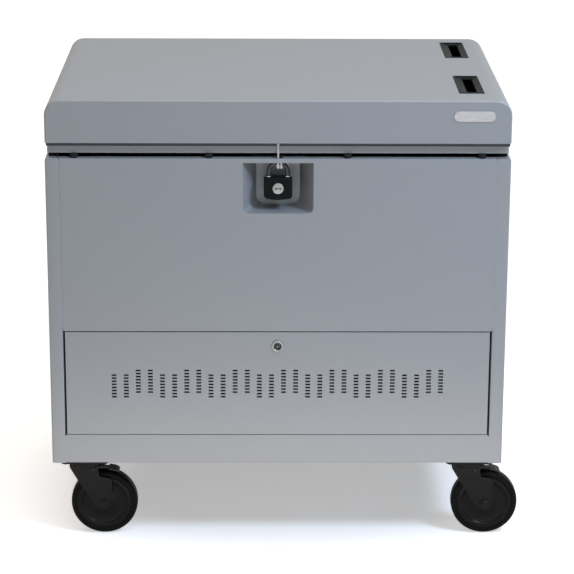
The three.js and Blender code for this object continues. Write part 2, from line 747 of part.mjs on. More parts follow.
const wheelRadius = wheelDiameter / 2;
const wheelSides = 20;
const plate = { half: 45, halfDepth: 56, thickness: 4, corner: 8 };
const race = { radius: 27, height: 7.2 }; // bearing between the plate and the crown
const crown = { radius: 30, height: 12.6 };
crown.top = base - fit - plate.thickness - race.height;
crown.bottom = crown.top - crown.height;
const legSpace = 2.3; // between the wheel and each leg
const legGap = wheelWidth / 2 + legSpace;
const legThickness = 3.5;
const yoke = { left: -31, right: 22, notch: 25, shoulder: 50, web: 4.5 };
const axle = { radius: 6, head: 9, proud: 5 };
const brake = { x: 14, aboveWheel: 4.5, pin: 3, stroke: 3, halfArm: 5, halfPad: 13, pad: 20, short: 34 };
const brakePin = [brake.x, wheelDiameter + brake.aboveWheel];
const treadCorner = wheelRadius / Math.cos(Math.PI / wheelSides);

function casterPlate() {
  const top = base - fit;
  return prism('z', rectangle([0, 0], plate.half, plate.halfDepth, plate.corner), top - plate.thickness, top)
    .add(bar('z', race.radius, crown.top + fit, top - plate.thickness / 4, [0, 0]));
}

// Swivel crown in a pressed yoke, with a tapered leg down each side of the wheel
function casterFork(braked) {
  const boss = 12;
  const { radius, top, bottom } = crown;
  const { left, right, notch, shoulder } = yoke;
  const root = top - fit;
  const side = [
    [left, root], [right, root], [notch, wheelRadius + 55, 4], [shoulder, wheelRadius + 51, 8],
    [trail + boss, wheelRadius - boss, boss - 1], [trail - boss, wheelRadius - boss, boss - 1],
    [left + 15, wheelRadius + 48, 20], [left, wheelRadius + 74, 8],
  ];
  const legs = [-legGap - legThickness, legGap].map((y) => prism('y', side, y, y + legThickness));
  const web = block(left, right, -legGap - over, legGap + over, root - yoke.web, root);
  const profile = [[0, bottom], [radius - 4, bottom], [radius, bottom + 3], [radius, top], [0, top]];
  const across = legGap + legThickness + over;
  const fork = joined(upright(profile, 12, [0, 0]), web, ...legs)
    .subtract(bar('y', axle.radius + fit, -across, across, [trail, wheelRadius], 12));
  const pinHole = bar('y', brake.pin + fit, -across, across, brakePin, 8);
  return braked ? fork.subtract(pinHole) : fork;
}

// Tread with a dished web and a hub; its flats, not its corners, are at the wheel's radius
function casterWheel() {
  const half = wheelWidth / 2;
  const bore = axle.radius + fit;
  const [hub, dish, band] = [14, 4, 19];
  const near = [
    [bore, -half - 1.5], [hub, -half - 1.5], [hub + 3, dish - half], [wheelRadius - band - 3, dish - half],
    [wheelRadius - band, -half], [treadCorner, 3 - half],
  ];
  const far = near.map(([radius, y]) => [radius, -y]).reverse();
  return turned([...near, ...far, near[0]], wheelSides, [trail, wheelRadius]);
}

function casterAxle() {
  const reach = legGap + legThickness + fit;
  const end = reach + axle.proud;
  const profile = [
    [0, -end], [axle.head, -end], [axle.head, -reach], [axle.radius, -reach],
    [axle.radius, reach], [axle.head, reach], [axle.head, end], [0, end],
  ];
  return turned(profile, 10, [trail, wheelRadius]);
}

// Brake lever on a pin between the legs, with a pad to step on, which fits the wheel at the end of its
// stroke
function brakePedal() {
  const [px, pz] = brakePin;
  const tip = trail + wheelRadius - brake.short;
  const heel = tip - brake.pad;
  const arm = [
    [px - 6, pz - 4, 3], [heel + 3, pz - 5], [heel + 3, pz], [px + 4, pz + 4], [px - 6, pz + 4, 3],
  ];
  const pad = [
    [heel, pz - 6], [tip - 0.5, pz - 10.5], [tip, pz - 6.5, 2], [tip - 2.5, pz - 4, 2], [tip - 8, pz - 1.5],
    [heel, pz + 1],
  ];
  const lever = prism('y', arm, -brake.halfArm, brake.halfArm)
    .add(prism('y', pad, -brake.halfPad, brake.halfPad));
  const pinEnd = legGap + legThickness;
  const pin = new THREE.Vector2(px, pz);
  const hub = new THREE.Vector2(trail, wheelRadius).rotateAround(pin, THREE.MathUtils.degToRad(brake.stroke));
  const tread = bar('y', treadCorner + fit, -legGap, legGap, [hub.x, hub.y], 2 * wheelSides);
  return lever.subtract(tread)
    .add(bar('y', brake.pin, -pinEnd, pinEnd, brakePin, 8));
}

const casterX = halfWidth - casterInset;
const casterPlaces = [
  ['front_left', -casterX, casterInset, 0], ['front_right', casterX, casterInset, 0],
  ['rear_left', -casterX, depth - casterInset, -90], ['rear_right', casterX, depth - casterInset, -90],
];

casterPlaces.forEach(([place, x, y, turn]) => {
  const caster = new THREE.Group();
  caster.position.set(x, y, 0);
  cart.add(caster);
  piece(`caster_plate_${place}`, casterPlate(), 'blackSteel', caster);
  const swivel = new THREE.Group();
  swivel.rotation.z = THREE.MathUtils.degToRad(turn);
  caster.add(swivel);
  const braked = turn === 0;
  piece(`caster_fork_${place}`, casterFork(braked), 'blackSteel', swivel);
  piece(`caster_wheel_${place}`, casterWheel(), 'blackPlastic', swivel);
  piece(`caster_axle_${place}`, casterAxle(), 'blackSteel', swivel);
  if (braked) {
    piece(`brake_pedal_${place}`, brakePedal(), 'blackPlastic', swivel);
  }
});

// The origin is on the floor, under the middle of the box round the whole cart
const wheelReach = casterX + trail + wheelRadius;
const hingeReach = hinge.y + hinge.knuckle;
cart.position.set((halfWidth - wheelReach) / 2, (camLock.proud - hingeReach) / 2, 0);

export default group;
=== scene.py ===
"""Looks of a laptop charging cart: finishes, softened edges, turned pieces, fasteners, camera and light."""

import json
from math import cos, pi, radians, sin, tan

import bmesh
import bpy
from mathutils import Matrix, Vector


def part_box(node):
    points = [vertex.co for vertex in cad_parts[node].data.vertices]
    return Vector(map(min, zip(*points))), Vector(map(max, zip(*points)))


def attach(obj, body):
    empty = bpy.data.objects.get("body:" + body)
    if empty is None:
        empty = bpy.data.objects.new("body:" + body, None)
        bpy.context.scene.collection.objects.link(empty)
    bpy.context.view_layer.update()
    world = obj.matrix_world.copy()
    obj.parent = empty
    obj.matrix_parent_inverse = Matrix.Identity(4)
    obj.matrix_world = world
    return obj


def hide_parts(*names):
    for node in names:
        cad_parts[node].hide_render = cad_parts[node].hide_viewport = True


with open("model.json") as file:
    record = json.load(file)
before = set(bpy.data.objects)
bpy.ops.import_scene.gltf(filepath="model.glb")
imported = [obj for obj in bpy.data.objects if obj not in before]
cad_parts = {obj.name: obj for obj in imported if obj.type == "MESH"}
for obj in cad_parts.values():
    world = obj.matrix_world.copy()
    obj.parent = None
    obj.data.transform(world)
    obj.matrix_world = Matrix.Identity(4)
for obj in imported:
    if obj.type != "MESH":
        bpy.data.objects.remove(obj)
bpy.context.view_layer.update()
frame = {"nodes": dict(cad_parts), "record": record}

MM = 0.001  # the frame is in metres, and sizes below are in millimetres
BODIES = frame["record"]["behaviour"]["bodies"]
BODY_OF = {node: body for body, nodes in BODIES.items() for node in nodes}
SLOT_OF = {part["node"]: part["material_slot"] for part in frame["record"]["subparts"]}
CASTERS = ("front_left", "front_right", "rear_left", "rear_right")
SIDES = ("left", "right")
PLACES = ("front", "rear")
UP, DOWN, FRONT, BACK = Vector((0, 0, 1)), Vector((0, 0, -1)), Vector((0, -1, 0)), Vector((0, 1, 0))
RIGHT = Vector((1, 0, 0))


# Finishes

def linear(code):
    """An sRGB hex value as linear red, green, blue and alpha."""
    values = [int(code[i:i + 2], 16) / 255 for i in (1, 3, 5)]
    return [v / 12.92 if v <= 0.04045 else ((v + 0.055) / 1.055) ** 2.4 for v in values] + [1]


def add(tree, kind, inputs=None, **settings):
    """One node with its settings, and its inputs set to values or linked to sockets."""
    node = tree.nodes.new(kind)
    for name, value in settings.items():
        setattr(node, name, value)
    for name, value in (inputs or {}).items():
        if isinstance(value, bpy.types.NodeSocket):
            tree.links.new(value, node.inputs[name])
        else:
            node.inputs[name].default_value = value
    return node


def finish(name):
    """A new material, its node tree, and the place on the piece that its patterns read."""
    material = bpy.data.materials.new(name)
    material.use_nodes = True
    tree = material.node_tree
    tree.nodes.clear()
    return material, tree, add(tree, "ShaderNodeTexCoord").outputs["Object"]


def powder_coat():
    """Baked polyester powder with a little metal flake: an even satin grey, faintly cloudy, with a fine
    orange peel. Real grit is about 0.2 mm, drawn here at 1.2 mm so that it shows."""
    material, tree, place = finish("silver_grey_powder_coat")
    grit = add(tree, "ShaderNodeTexNoise", {
        "Vector": place, "Scale": 1 / (1.2 * MM), "Detail": 3}).outputs["Fac"]
    cloud = add(tree, "ShaderNodeTexNoise", {
        "Vector": place, "Scale": 1 / (70 * MM), "Detail": 3}).outputs["Fac"]
    speck = add(tree, "ShaderNodeMapRange", {
        "Value": grit, "From Min": 0.3, "From Max": 0.7}).outputs["Result"]
    tone = add(tree, "ShaderNodeMix", {"Factor": speck, 6: linear("#8f9397"), 7: linear("#999da1")},
               data_type="RGBA").outputs[2]
    sheen = add(tree, "ShaderNodeMapRange", {
        "Value": cloud, "From Min": 0.3, "From Max": 0.7, "To Min": 0.494, "To Max": 0.506}).outputs["Result"]
    peel = add(tree, "ShaderNodeBump", {
        "Height": grit, "Distance": 0.03 * MM, "Strength": 0.35}).outputs["Normal"]
    shader = add(tree, "ShaderNodeBsdfPrincipled", {
        "Base Color": tone, "Metallic": 0.25, "Roughness": sheen, "Normal": peel})
    add(tree, "ShaderNodeOutputMaterial", {"Surface": shader.outputs["BSDF"]})
    return material


def zinc_plate():
    """Bright zinc on cold-rolled steel: a cool, slightly cloudy metal with rolling lines. The lines are
    about 0.1 mm apart, drawn at 0.5 mm so that they show."""
    material, tree, place = finish("zinc_plated_steel")
    drawn = add(tree, "ShaderNodeMapping", {"Vector": place, "Scale": (0.05, 1, 1)}).outputs["Vector"]
    lines = add(tree, "ShaderNodeTexNoise", {
        "Vector": drawn, "Scale": 1 / (0.5 * MM), "Detail": 2}).outputs["Fac"]
    cloud = add(tree, "ShaderNodeTexNoise", {
        "Vector": place, "Scale": 1 / (9 * MM), "Detail": 3}).outputs["Fac"]
    bloom = add(tree, "ShaderNodeMapRange", {
        "Value": cloud, "From Min": 0.35, "From Max": 0.65}).outputs["Result"]
    tone = add(tree, "ShaderNodeMix", {"Factor": bloom, 6: linear("#96989a"), 7: linear("#a6a8aa")},
               data_type="RGBA").outputs[2]
    sheen = add(tree, "ShaderNodeMapRange", {
        "Value": lines, "From Min": 0.3, "From Max": 0.7, "To Min": 0.28, "To Max": 0.44}).outputs["Result"]
    grooves = add(tree, "ShaderNodeBump", {
        "Height": lines, "Distance": 0.01 * MM, "Strength": 0.4}).outputs["Normal"]
    shader = add(tree, "ShaderNodeBsdfPrincipled", {
        "Base Color": tone, "Metallic": 1, "Roughness": sheen, "Normal": grooves})
    add(tree, "ShaderNodeOutputMaterial", {"Surface": shader.outputs["BSDF"]})
    return material


def moulded_abs():
    """Black ABS from a spark-eroded mould: a fine even grain with a soft sheen. The grain is about 0.3 mm,
    drawn at 0.8 mm so that it shows."""
    material, tree, place = finish("moulded_black_abs")
    grain = add(tree, "ShaderNodeTexNoise", {
        "Vector": place, "Scale": 1 / (0.8 * MM), "Detail": 2}).outputs["Fac"]
    speck = add(tree, "ShaderNodeMapRange", {
        "Value": grain, "From Min": 0.3, "From Max": 0.7}).outputs["Result"]
    tone = add(tree, "ShaderNodeMix", {"Factor": speck, 6: linear("#0c0c0d"), 7: linear("#141415")},
               data_type="RGBA").outputs[2]
    sheen = add(tree, "ShaderNodeMapRange", {
        "Value": speck, "To Min": 0.42, "To Max": 0.56}).outputs["Result"]
    pits = add(tree, "ShaderNodeBump", {
        "Height": grain, "Distance": 0.03 * MM, "Strength": 0.5}).outputs["Normal"]
    shader = add(tree, "ShaderNodeBsdfPrincipled", {
        "Base Color": tone, "Roughness": sheen, "Normal": pits, "IOR": 1.53, "Specular IOR Level": 0.25})
    add(tree, "ShaderNodeOutputMaterial", {"Surface": shader.outputs["BSDF"]})
    return material


def moulded_nylon():
    """Black nylon of the grips, from a blasted mould: deep black and nearly matt, with faint flow lines about
    6 mm across."""
    material, tree, place = finish("moulded_black_nylon")
    flow = add(tree, "ShaderNodeTexNoise", {
        "Vector": place, "Scale": 1 / (6 * MM), "Detail": 3, "Distortion": 0.8}).outputs["Fac"]
    streak = add(tree, "ShaderNodeMapRange", {
        "Value": flow, "From Min": 0.35, "From Max": 0.65}).outputs["Result"]
    tone = add(tree, "ShaderNodeMix", {"Factor": streak, 6: linear("#171719"), 7: linear("#202022")},
               data_type="RGBA").outputs[2]
    sheen = add(tree, "ShaderNodeMapRange", {"Value": streak, "To Min": 0.4, "To Max": 0.5}).outputs["Result"]
    ripple = add(tree, "ShaderNodeBump", {
        "Height": flow, "Distance": 0.03 * MM, "Strength": 0.3}).outputs["Normal"]
    shader = add(tree, "ShaderNodeBsdfPrincipled", {
        "Base Color": tone, "Roughness": sheen, "Normal": ripple, "IOR": 1.53, "Specular IOR Level": 0.02})
    add(tree, "ShaderNodeOutputMaterial", {"Surface": shader.outputs["BSDF"]})
    return material


def tread_rubber():
    """Hard black rubber, moulded: nearly black, with a dusty bloom in patches about 14 mm across."""
    material, tree, place = finish("hard_black_rubber")
    bloom = add(tree, "ShaderNodeTexNoise", {
        "Vector": place, "Scale": 1 / (14 * MM), "Detail": 4}).outputs["Fac"]
    skin = add(tree, "ShaderNodeTexNoise", {
        "Vector": place, "Scale": 1 / (0.9 * MM), "Detail": 2}).outputs["Fac"]
    dust = add(tree, "ShaderNodeMapRange", {
        "Value": bloom, "From Min": 0.35, "From Max": 0.65}).outputs["Result"]
    tone = add(tree, "ShaderNodeMix", {"Factor": dust, 6: linear("#060606"), 7: linear("#0c0c0d")},
               data_type="RGBA").outputs[2]
    sheen = add(tree, "ShaderNodeMapRange", {"Value": dust, "To Min": 0.4, "To Max": 0.56}).outputs["Result"]
    pores = add(tree, "ShaderNodeBump", {
        "Height": skin, "Distance": 0.03 * MM, "Strength": 0.4}).outputs["Normal"]
    shader = add(tree, "ShaderNodeBsdfPrincipled", {
        "Base Color": tone, "Roughness": sheen, "Normal": pores, "IOR": 1.52, "Specular IOR Level": 0.06})
    add(tree, "ShaderNodeOutputMaterial", {"Surface": shader.outputs["BSDF"]})
    return material


def core_nylon():
    """Glass-filled nylon of the wheel's core: black and a little glossier than its tread, with a fine
    swirl of fibres about 2 mm across."""
    material, tree, place = finish("glass_filled_black_nylon")
    swirl = add(tree, "ShaderNodeTexNoise", {
        "Vector": place, "Scale": 1 / (2 * MM), "Detail": 3, "Distortion": 0.6}).outputs["Fac"]
    fibres = add(tree, "ShaderNodeMapRange", {
        "Value": swirl, "From Min": 0.35, "From Max": 0.65}).outputs["Result"]
    tone = add(tree, "ShaderNodeMix", {"Factor": fibres, 6: linear("#060606"), 7: linear("#0c0c0d")},
               data_type="RGBA").outputs[2]
    sheen = add(tree, "ShaderNodeMapRange", {
        "Value": fibres, "To Min": 0.26, "To Max": 0.38}).outputs["Result"]
    skin = add(tree, "ShaderNodeBump", {
        "Height": swirl, "Distance": 0.02 * MM, "Strength": 0.4}).outputs["Normal"]
    shader = add(tree, "ShaderNodeBsdfPrincipled", {
        "Base Color": tone, "Roughness": sheen, "Normal": skin, "IOR": 1.53, "Specular IOR Level": 0.09})
    add(tree, "ShaderNodeOutputMaterial", {"Surface": shader.outputs["BSDF"]})
    return material


def soft_rubber(name, dark, pale):
    """Matt EPDM of stops and seals, with a chalky skin. Its pores are drawn at 1 mm to show."""
    material, tree, place = finish(name)
    pores = add(tree, "ShaderNodeTexNoise", {
        "Vector": place, "Scale": 1 / MM, "Detail": 2}).outputs["Fac"]
    chalk = add(tree, "ShaderNodeMapRange", {
        "Value": pores, "From Min": 0.35, "From Max": 0.65}).outputs["Result"]
    tone = add(tree, "ShaderNodeMix", {"Factor": chalk, 6: linear(dark), 7: linear(pale)},
               data_type="RGBA").outputs[2]
    sheen = add(tree, "ShaderNodeMapRange", {
        "Value": chalk, "To Min": 0.75, "To Max": 0.88}).outputs["Result"]
    skin = add(tree, "ShaderNodeBump", {
        "Height": pores, "Distance": 0.03 * MM, "Strength": 0.4}).outputs["Normal"]
    shader = add(tree, "ShaderNodeBsdfPrincipled", {
        "Base Color": tone, "Roughness": sheen, "Normal": skin, "IOR": 1.5, "Specular IOR Level": 0.2})
    add(tree, "ShaderNodeOutputMaterial", {"Surface": shader.outputs["BSDF"]})
    return material


def black_steel():
    """Pressed steel under a thin black dip coat: satin, with slight runs about 12 mm across."""
    material, tree, place = finish("black_dip_coated_steel")
    runs = add(tree, "ShaderNodeTexNoise", {
        "Vector": place, "Scale": 1 / (12 * MM), "Detail": 3}).outputs["Fac"]
    skin = add(tree, "ShaderNodeTexNoise", {
        "Vector": place, "Scale": 1 / (2.5 * MM), "Detail": 2}).outputs["Fac"]
    film = add(tree, "ShaderNodeMapRange", {
        "Value": runs, "From Min": 0.35, "From Max": 0.65}).outputs["Result"]
    tone = add(tree, "ShaderNodeMix", {"Factor": film, 6: linear("#070707"), 7: linear("#0e0e0f")},
               data_type="RGBA").outputs[2]
    sheen = add(tree, "ShaderNodeMapRange", {"Value": film, "To Min": 0.3, "To Max": 0.42}).outputs["Result"]
    dips = add(tree, "ShaderNodeBump", {
        "Height": skin, "Distance": 0.03 * MM, "Strength": 0.4}).outputs["Normal"]
    shader = add(tree, "ShaderNodeBsdfPrincipled", {
        "Base Color": tone, "Roughness": sheen, "Normal": dips, "IOR": 1.5, "Specular IOR Level": 0.12})
    add(tree, "ShaderNodeOutputMaterial", {"Surface": shader.outputs["BSDF"]})
    return material


def chrome_plate():
    """Polished chromium over hardened steel: a mirror with upright hair scratches. They are about
    0.05 mm wide, drawn at 0.4 mm so that they show."""
    material, tree, place = finish("polished_chrome_plate")
    drawn = add(tree, "ShaderNodeMapping", {"Vector": place, "Scale": (1, 1, 0.04)}).outputs["Vector"]
    hairs = add(tree, "ShaderNodeTexNoise", {
        "Vector": drawn, "Scale": 1 / (0.4 * MM), "Detail": 1}).outputs["Fac"]
    worn = add(tree, "ShaderNodeMapRange", {
        "Value": hairs, "From Min": 0.35, "From Max": 0.65}).outputs["Result"]
    tone = add(tree, "ShaderNodeMix", {"Factor": worn, 6: linear("#b4b7b9"), 7: linear("#c8cbcd")},
               data_type="RGBA").outputs[2]
    sheen = add(tree, "ShaderNodeMapRange", {"Value": worn, "To Min": 0.07, "To Max": 0.16}).outputs["Result"]
    shader = add(tree, "ShaderNodeBsdfPrincipled", {"Base Color": tone, "Metallic": 1, "Roughness": sheen})
    add(tree, "ShaderNodeOutputMaterial", {"Surface": shader.outputs["BSDF"]})
    return material


def satin_nickel():
    """Nickel-plated brass, tumbled: satin grey with fine marks. They are about 0.1 mm across, drawn at
    0.6 mm so that they show."""
    material, tree, place = finish("satin_nickel_plate")
    marks = add(tree, "ShaderNodeTexNoise", {
        "Vector": place, "Scale": 1 / (0.6 * MM), "Detail": 2}).outputs["Fac"]
    worn = add(tree, "ShaderNodeMapRange", {
        "Value": marks, "From Min": 0.35, "From Max": 0.65}).outputs["Result"]
    tone = add(tree, "ShaderNodeMix", {"Factor": worn, 6: linear("#8d918d"), 7: linear("#9da19d")},
               data_type="RGBA").outputs[2]
    sheen = add(tree, "ShaderNodeMapRange", {"Value": worn, "To Min": 0.36, "To Max": 0.48}).outputs["Result"]
    dents = add(tree, "ShaderNodeBump", {
        "Height": marks, "Distance": 0.01 * MM, "Strength": 0.3}).outputs["Normal"]
    shader = add(tree, "ShaderNodeBsdfPrincipled", {
        "Base Color": tone, "Metallic": 1, "Roughness": sheen, "Normal": dents})
    add(tree, "ShaderNodeOutputMaterial", {"Surface": shader.outputs["BSDF"]})
    return material


def dark_nickel():
    """Die-cast zinc under black nickel: a dark lustre, brighter where keys have rubbed it in patches of
    about 3 mm."""
    material, tree, place = finish("black_nickel_plate")
    rubbed = add(tree, "ShaderNodeTexNoise", {
        "Vector": place, "Scale": 1 / (3 * MM), "Detail": 3}).outputs["Fac"]
    worn = add(tree, "ShaderNodeMapRange", {
        "Value": rubbed, "From Min": 0.35, "From Max": 0.7}).outputs["Result"]
    tone = add(tree, "ShaderNodeMix", {"Factor": worn, 6: linear("#3b3b3c"), 7: linear("#4d4c4c")},
               data_type="RGBA").outputs[2]
    sheen = add(tree, "ShaderNodeMapRange", {"Value": worn, "To Min": 0.18, "To Max": 0.3}).outputs["Result"]
    shader = add(tree, "ShaderNodeBsdfPrincipled", {"Base Color": tone, "Metallic": 1, "Roughness": sheen})
    add(tree, "ShaderNodeOutputMaterial", {"Surface": shader.outputs["BSDF"]})
    return material


def vinyl_cover():
    """Black vinyl moulded round the padlock's case, with a pebbled skin of about 1 mm. The creases between
    the pebbles are coloured darker than their crowns: painted shade.
    """
    material, tree, place = finish("pebbled_black_vinyl")
    pebble = add(tree, "ShaderNodeTexVoronoi", {"Vector": place, "Scale": 1 / MM}).outputs["Distance"]
    # crease mask: creases coloured darker than the crowns as painted shade; it also sets the roughness
    crown = add(tree, "ShaderNodeMapRange", {
        "Value": pebble, "From Min": 0.1, "From Max": 0.7}).outputs["Result"]
    tone = add(tree, "ShaderNodeMix", {"Factor": crown, 6: linear("#131415"), 7: linear("#0b0c0d")},
               data_type="RGBA").outputs[2]
    sheen = add(tree, "ShaderNodeMapRange", {"Value": crown, "To Min": 0.42, "To Max": 0.6}).outputs["Result"]
    skin = add(tree, "ShaderNodeBump", {
        "Height": pebble, "Distance": 0.06 * MM, "Strength": 0.5}, invert=True).outputs["Normal"]
    shader = add(tree, "ShaderNodeBsdfPrincipled", {
        "Base Color": tone, "Roughness": sheen, "Normal": skin, "IOR": 1.52, "Specular IOR Level": 0.08})
    add(tree, "ShaderNodeOutputMaterial", {"Surface": shader.outputs["BSDF"]})
    return material


def brushed_aluminium():
    """Aluminium sheet brushed lengthways and clear lacquered: pale, with long fine lines. They are about
    0.1 mm apart, drawn at 0.5 mm so that they show."""
    material, tree, place = finish("brushed_aluminium")
    drawn = add(tree, "ShaderNodeMapping", {"Vector": place, "Scale": (0.03, 1, 1)}).outputs["Vector"]
    lines = add(tree, "ShaderNodeTexNoise", {
        "Vector": drawn, "Scale": 1 / (0.5 * MM), "Detail": 2}).outputs["Fac"]
    worn = add(tree, "ShaderNodeMapRange", {
        "Value": lines, "From Min": 0.3, "From Max": 0.7}).outputs["Result"]
    tone = add(tree, "ShaderNodeMix", {"Factor": worn, 6: linear("#a2a3a8"), 7: linear("#bcbdc2")},
               data_type="RGBA").outputs[2]
    sheen = add(tree, "ShaderNodeMapRange", {"Value": worn, "To Min": 0.3, "To Max": 0.42}).outputs["Result"]
    shader = add(tree, "ShaderNodeBsdfPrincipled", {"Base Color": tone, "Metallic": 1, "Roughness": sheen})
    add(tree, "ShaderNodeOutputMaterial", {"Surface": shader.outputs["BSDF"]})
    return material


FINISHES = {
    "coat": powder_coat(),
    "galvanised": zinc_plate(),
    "black_plastic": moulded_abs(),
    "wheel": tread_rubber(),
    "bumper": soft_rubber("black_epdm_rubber", "#141415", "#1e1e1f"),
    "black_steel": black_steel(),
    "chrome": chrome_plate(),
    "lock_cover": vinyl_cover(),
}
CORE = core_nylon()
GRIP_NYLON = moulded_nylon()
NICKEL = satin_nickel()
DARK_NICKEL = dark_nickel()
ALUMINIUM = brushed_aluminium()
# grey rubber finish used only for the painted shadow under the lid's skirt
PAINTED_SHADOW_GREY = soft_rubber("grey_rubber_for_painted_shadow", "#3e4044", "#484a4e")


# Meshes

def shade(mesh_edit, sharp_angle=38):
    """Smooth faces, with sharp edges where the surface turns by more than the angle."""
    for face in mesh_edit.faces:
        face.smooth = True
    for edge in mesh_edit.edges:
        edge.smooth = len(edge.link_faces) == 2 and edge.calc_face_angle(pi) < radians(sharp_angle)


def link(name, mesh_edit, material, flats=False):
    """An object at the origin from an edited mesh. With flats, broad faces keep their own normals, so that
    only the rounded edges beside them shade as curves."""
    shade(mesh_edit)
    mesh = bpy.data.meshes.new(name)
    mesh_edit.to_mesh(mesh)
    mesh_edit.free()
    mesh.materials.append(material)
    made = bpy.data.objects.new(name, mesh)
    bpy.context.scene.collection.objects.link(made)
    if flats:
        made.modifiers.new("flats", "WEIGHTED_NORMAL").keep_sharp = True
        made.data = bpy.data.meshes.new_from_object(made.evaluated_get(bpy.context.evaluated_depsgraph_get()))
        made.modifiers.clear()
    return made


def make(name, mesh_edit, body, slot, replaced=(), material=None, flats=False):
    """A finished piece on its body, in place of its CAD nodes."""
    made = link(name, mesh_edit, material or FINISHES[slot], flats)
    if replaced:
        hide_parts(*replaced)
    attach(made, body)
    return made


def merged_copy(node):
    """A node's mesh with its triangles joined and its flat faces whole."""
    mesh_edit = bmesh.new()
    mesh_edit.from_mesh(frame["nodes"][node].data)
    bmesh.ops.remove_doubles(mesh_edit, verts=mesh_edit.verts, dist=0.004 * MM)
    bmesh.ops.dissolve_limit(
        mesh_edit, angle_limit=radians(0.4), verts=mesh_edit.verts, edges=mesh_edit.edges)
    return mesh_edit


def soften(mesh_edit, radius, segments=2, sharpest=50):
    """Rounds the edges that turn by more than the angle."""
    edges = [edge for edge in mesh_edit.edges
             if len(edge.link_faces) == 2 and edge.calc_face_angle(0) > radians(sharpest)]
    bmesh.ops.bevel(
        mesh_edit, geom=edges, offset=radius * MM, segments=segments, profile=0.5, affect="EDGES",
        clamp_overlap=True)


def dress(node, radius, segments=2, material=None):
    """A node with softened edges, under its own finish."""
    mesh_edit = merged_copy(node)
    if radius:
        soften(mesh_edit, radius, segments)
    return make(f"{node}_skin", mesh_edit, BODY_OF[node], SLOT_OF[node], [node], material, flats=True)


def middle(node):
    """Centre of a node's box, in metres."""
    low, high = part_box(node)
    return (Vector(low) + Vector(high)) / 2


def extents(node):
    """Low and high corners of a node's box, in millimetres."""
    return [Vector(corner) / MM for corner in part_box(node)]


def lathe(mesh_edit, profile, centre, axis, sides=72):
    """Turns a profile of (radius, along) in millimetres round an axis through a point."""
    along = Vector(axis).normalized()
    across = along.orthogonal().normalized()
    beside = along.cross(across)
    rings = []
    for radius, place in profile:
        spot = Vector(centre) + along * place * MM
        if radius == 0:
            rings.append([mesh_edit.verts.new(spot)])
            continue
        angles = [2 * pi * i / sides for i in range(sides)]
        rings.append([mesh_edit.verts.new(spot + (across * cos(a) + beside * sin(a)) * radius * MM)
                      for a in angles])
    closed = profile[0][0] > 0
    pairs = list(zip(rings, rings[1:])) + ([(rings[-1], rings[0])] if closed else [])
    made = []
    for near, far in pairs:
        for i in range(sides):
            ring = [near[i % len(near)], near[(i + 1) % len(near)],
                    far[(i + 1) % len(far)], far[i % len(far)]]
            made.append(mesh_edit.faces.new(list(dict.fromkeys(ring))))
    bmesh.ops.recalc_face_normals(mesh_edit, faces=made)
    return mesh_edit


def rounded(corners, steps=8):
    """Outline through corners (a, b, radius), each rounded by an arc."""
    points = []
    for i, (a, b, radius) in enumerate(corners):
        corner = Vector((a, b))
        back = (Vector(corners[i - 1][:2]) - corner).normalized()
        ahead = (Vector(corners[(i + 1) % len(corners)][:2]) - corner).normalized()
        half = back.angle(ahead) / 2
        centre = corner + (back + ahead).normalized() * radius / sin(half)
        start = corner + back * radius / tan(half) - centre
        turn = start.angle_signed(corner + ahead * radius / tan(half) - centre)
        points += [centre + Matrix.Rotation(-turn * k / steps, 2) @ start for k in range(steps + 1)]
    return points


def slab(mesh_edit, outline, near, far):
    """Fills an outline in (x, z) from one y to another, all in millimetres."""
    faces = []
    front = [mesh_edit.verts.new(Vector((x, near, z)) * MM) for x, z in outline]
    back = [mesh_edit.verts.new(Vector((x, far, z)) * MM) for x, z in outline]
    faces += [mesh_edit.faces.new(front), mesh_edit.faces.new(back[::-1])]
    for i in range(len(front)):
        faces.append(mesh_edit.faces.new([front[i - 1], front[i], back[i], back[i - 1]]))
    bmesh.ops.recalc_face_normals(mesh_edit, faces=faces)
    return mesh_edit


def block(mesh_edit, near, far):
    """A box between two opposite corners, in millimetres."""
    near, far = Vector(near) * MM, Vector(far) * MM
    made = bmesh.ops.create_cube(mesh_edit, size=1)["verts"]
    bmesh.ops.scale(mesh_edit, verts=made, vec=[abs(side) for side in far - near])
    bmesh.ops.translate(mesh_edit, verts=made, vec=(near + far) / 2)
    return mesh_edit


def sweep(mesh_edit, path, radius, sides=24):
    """A round wire along points in one upright plane across y, in metres, with chamfered ends."""
    rings = []
    for i, spot in enumerate(path):
        run = (path[min(i + 1, len(path) - 1)] - path[max(i - 1, 0)]).normalized()
        across = run.cross(BACK).normalized()
        thick = radius * MM * (0.8 if i in (0, len(path) - 1) else 1)
        angles = [2 * pi * k / sides for k in range(sides)]
        rings.append([mesh_edit.verts.new(spot + (across * cos(a) + BACK * sin(a)) * thick) for a in angles])
    for near, far in zip(rings, rings[1:]):
        for k in range(sides):
            mesh_edit.faces.new([near[k - 1], near[k], far[k], far[k - 1]])
    mesh_edit.faces.new(rings[0])
    mesh_edit.faces.new(rings[-1])
    bmesh.ops.recalc_face_normals(mesh_edit, faces=mesh_edit.faces)
    return mesh_edit


def carve(mesh_edit, cutter):
    """Cuts one closed mesh out of another."""
    whole = link("whole", mesh_edit, None)
    tool = link("tool", cutter, None)
    cut = whole.modifiers.new("cut", "BOOLEAN")
    cut.operation, cut.object, cut.solver = "DIFFERENCE", tool, "EXACT"
    result = bmesh.new()
    result.from_object(whole, bpy.context.evaluated_depsgraph_get())
    bpy.data.objects.remove(whole)
    bpy.data.objects.remove(tool)
    bmesh.ops.remove_doubles(result, verts=result.verts, dist=0.002 * MM)
    return result


# Fittings that repeat, set out by geometry nodes

def pattern(name, result, **inputs):
    """An empty tree of geometry nodes, with named inputs of given kinds and one named result."""
    tree = bpy.data.node_groups.new(name, "GeometryNodeTree")
    for label, kind in inputs.items():
        tree.interface.new_socket(label, in_out="INPUT", socket_type=f"NodeSocket{kind}")
    tree.interface.new_socket(result, in_out="OUTPUT", socket_type="NodeSocketGeometry")
    return tree


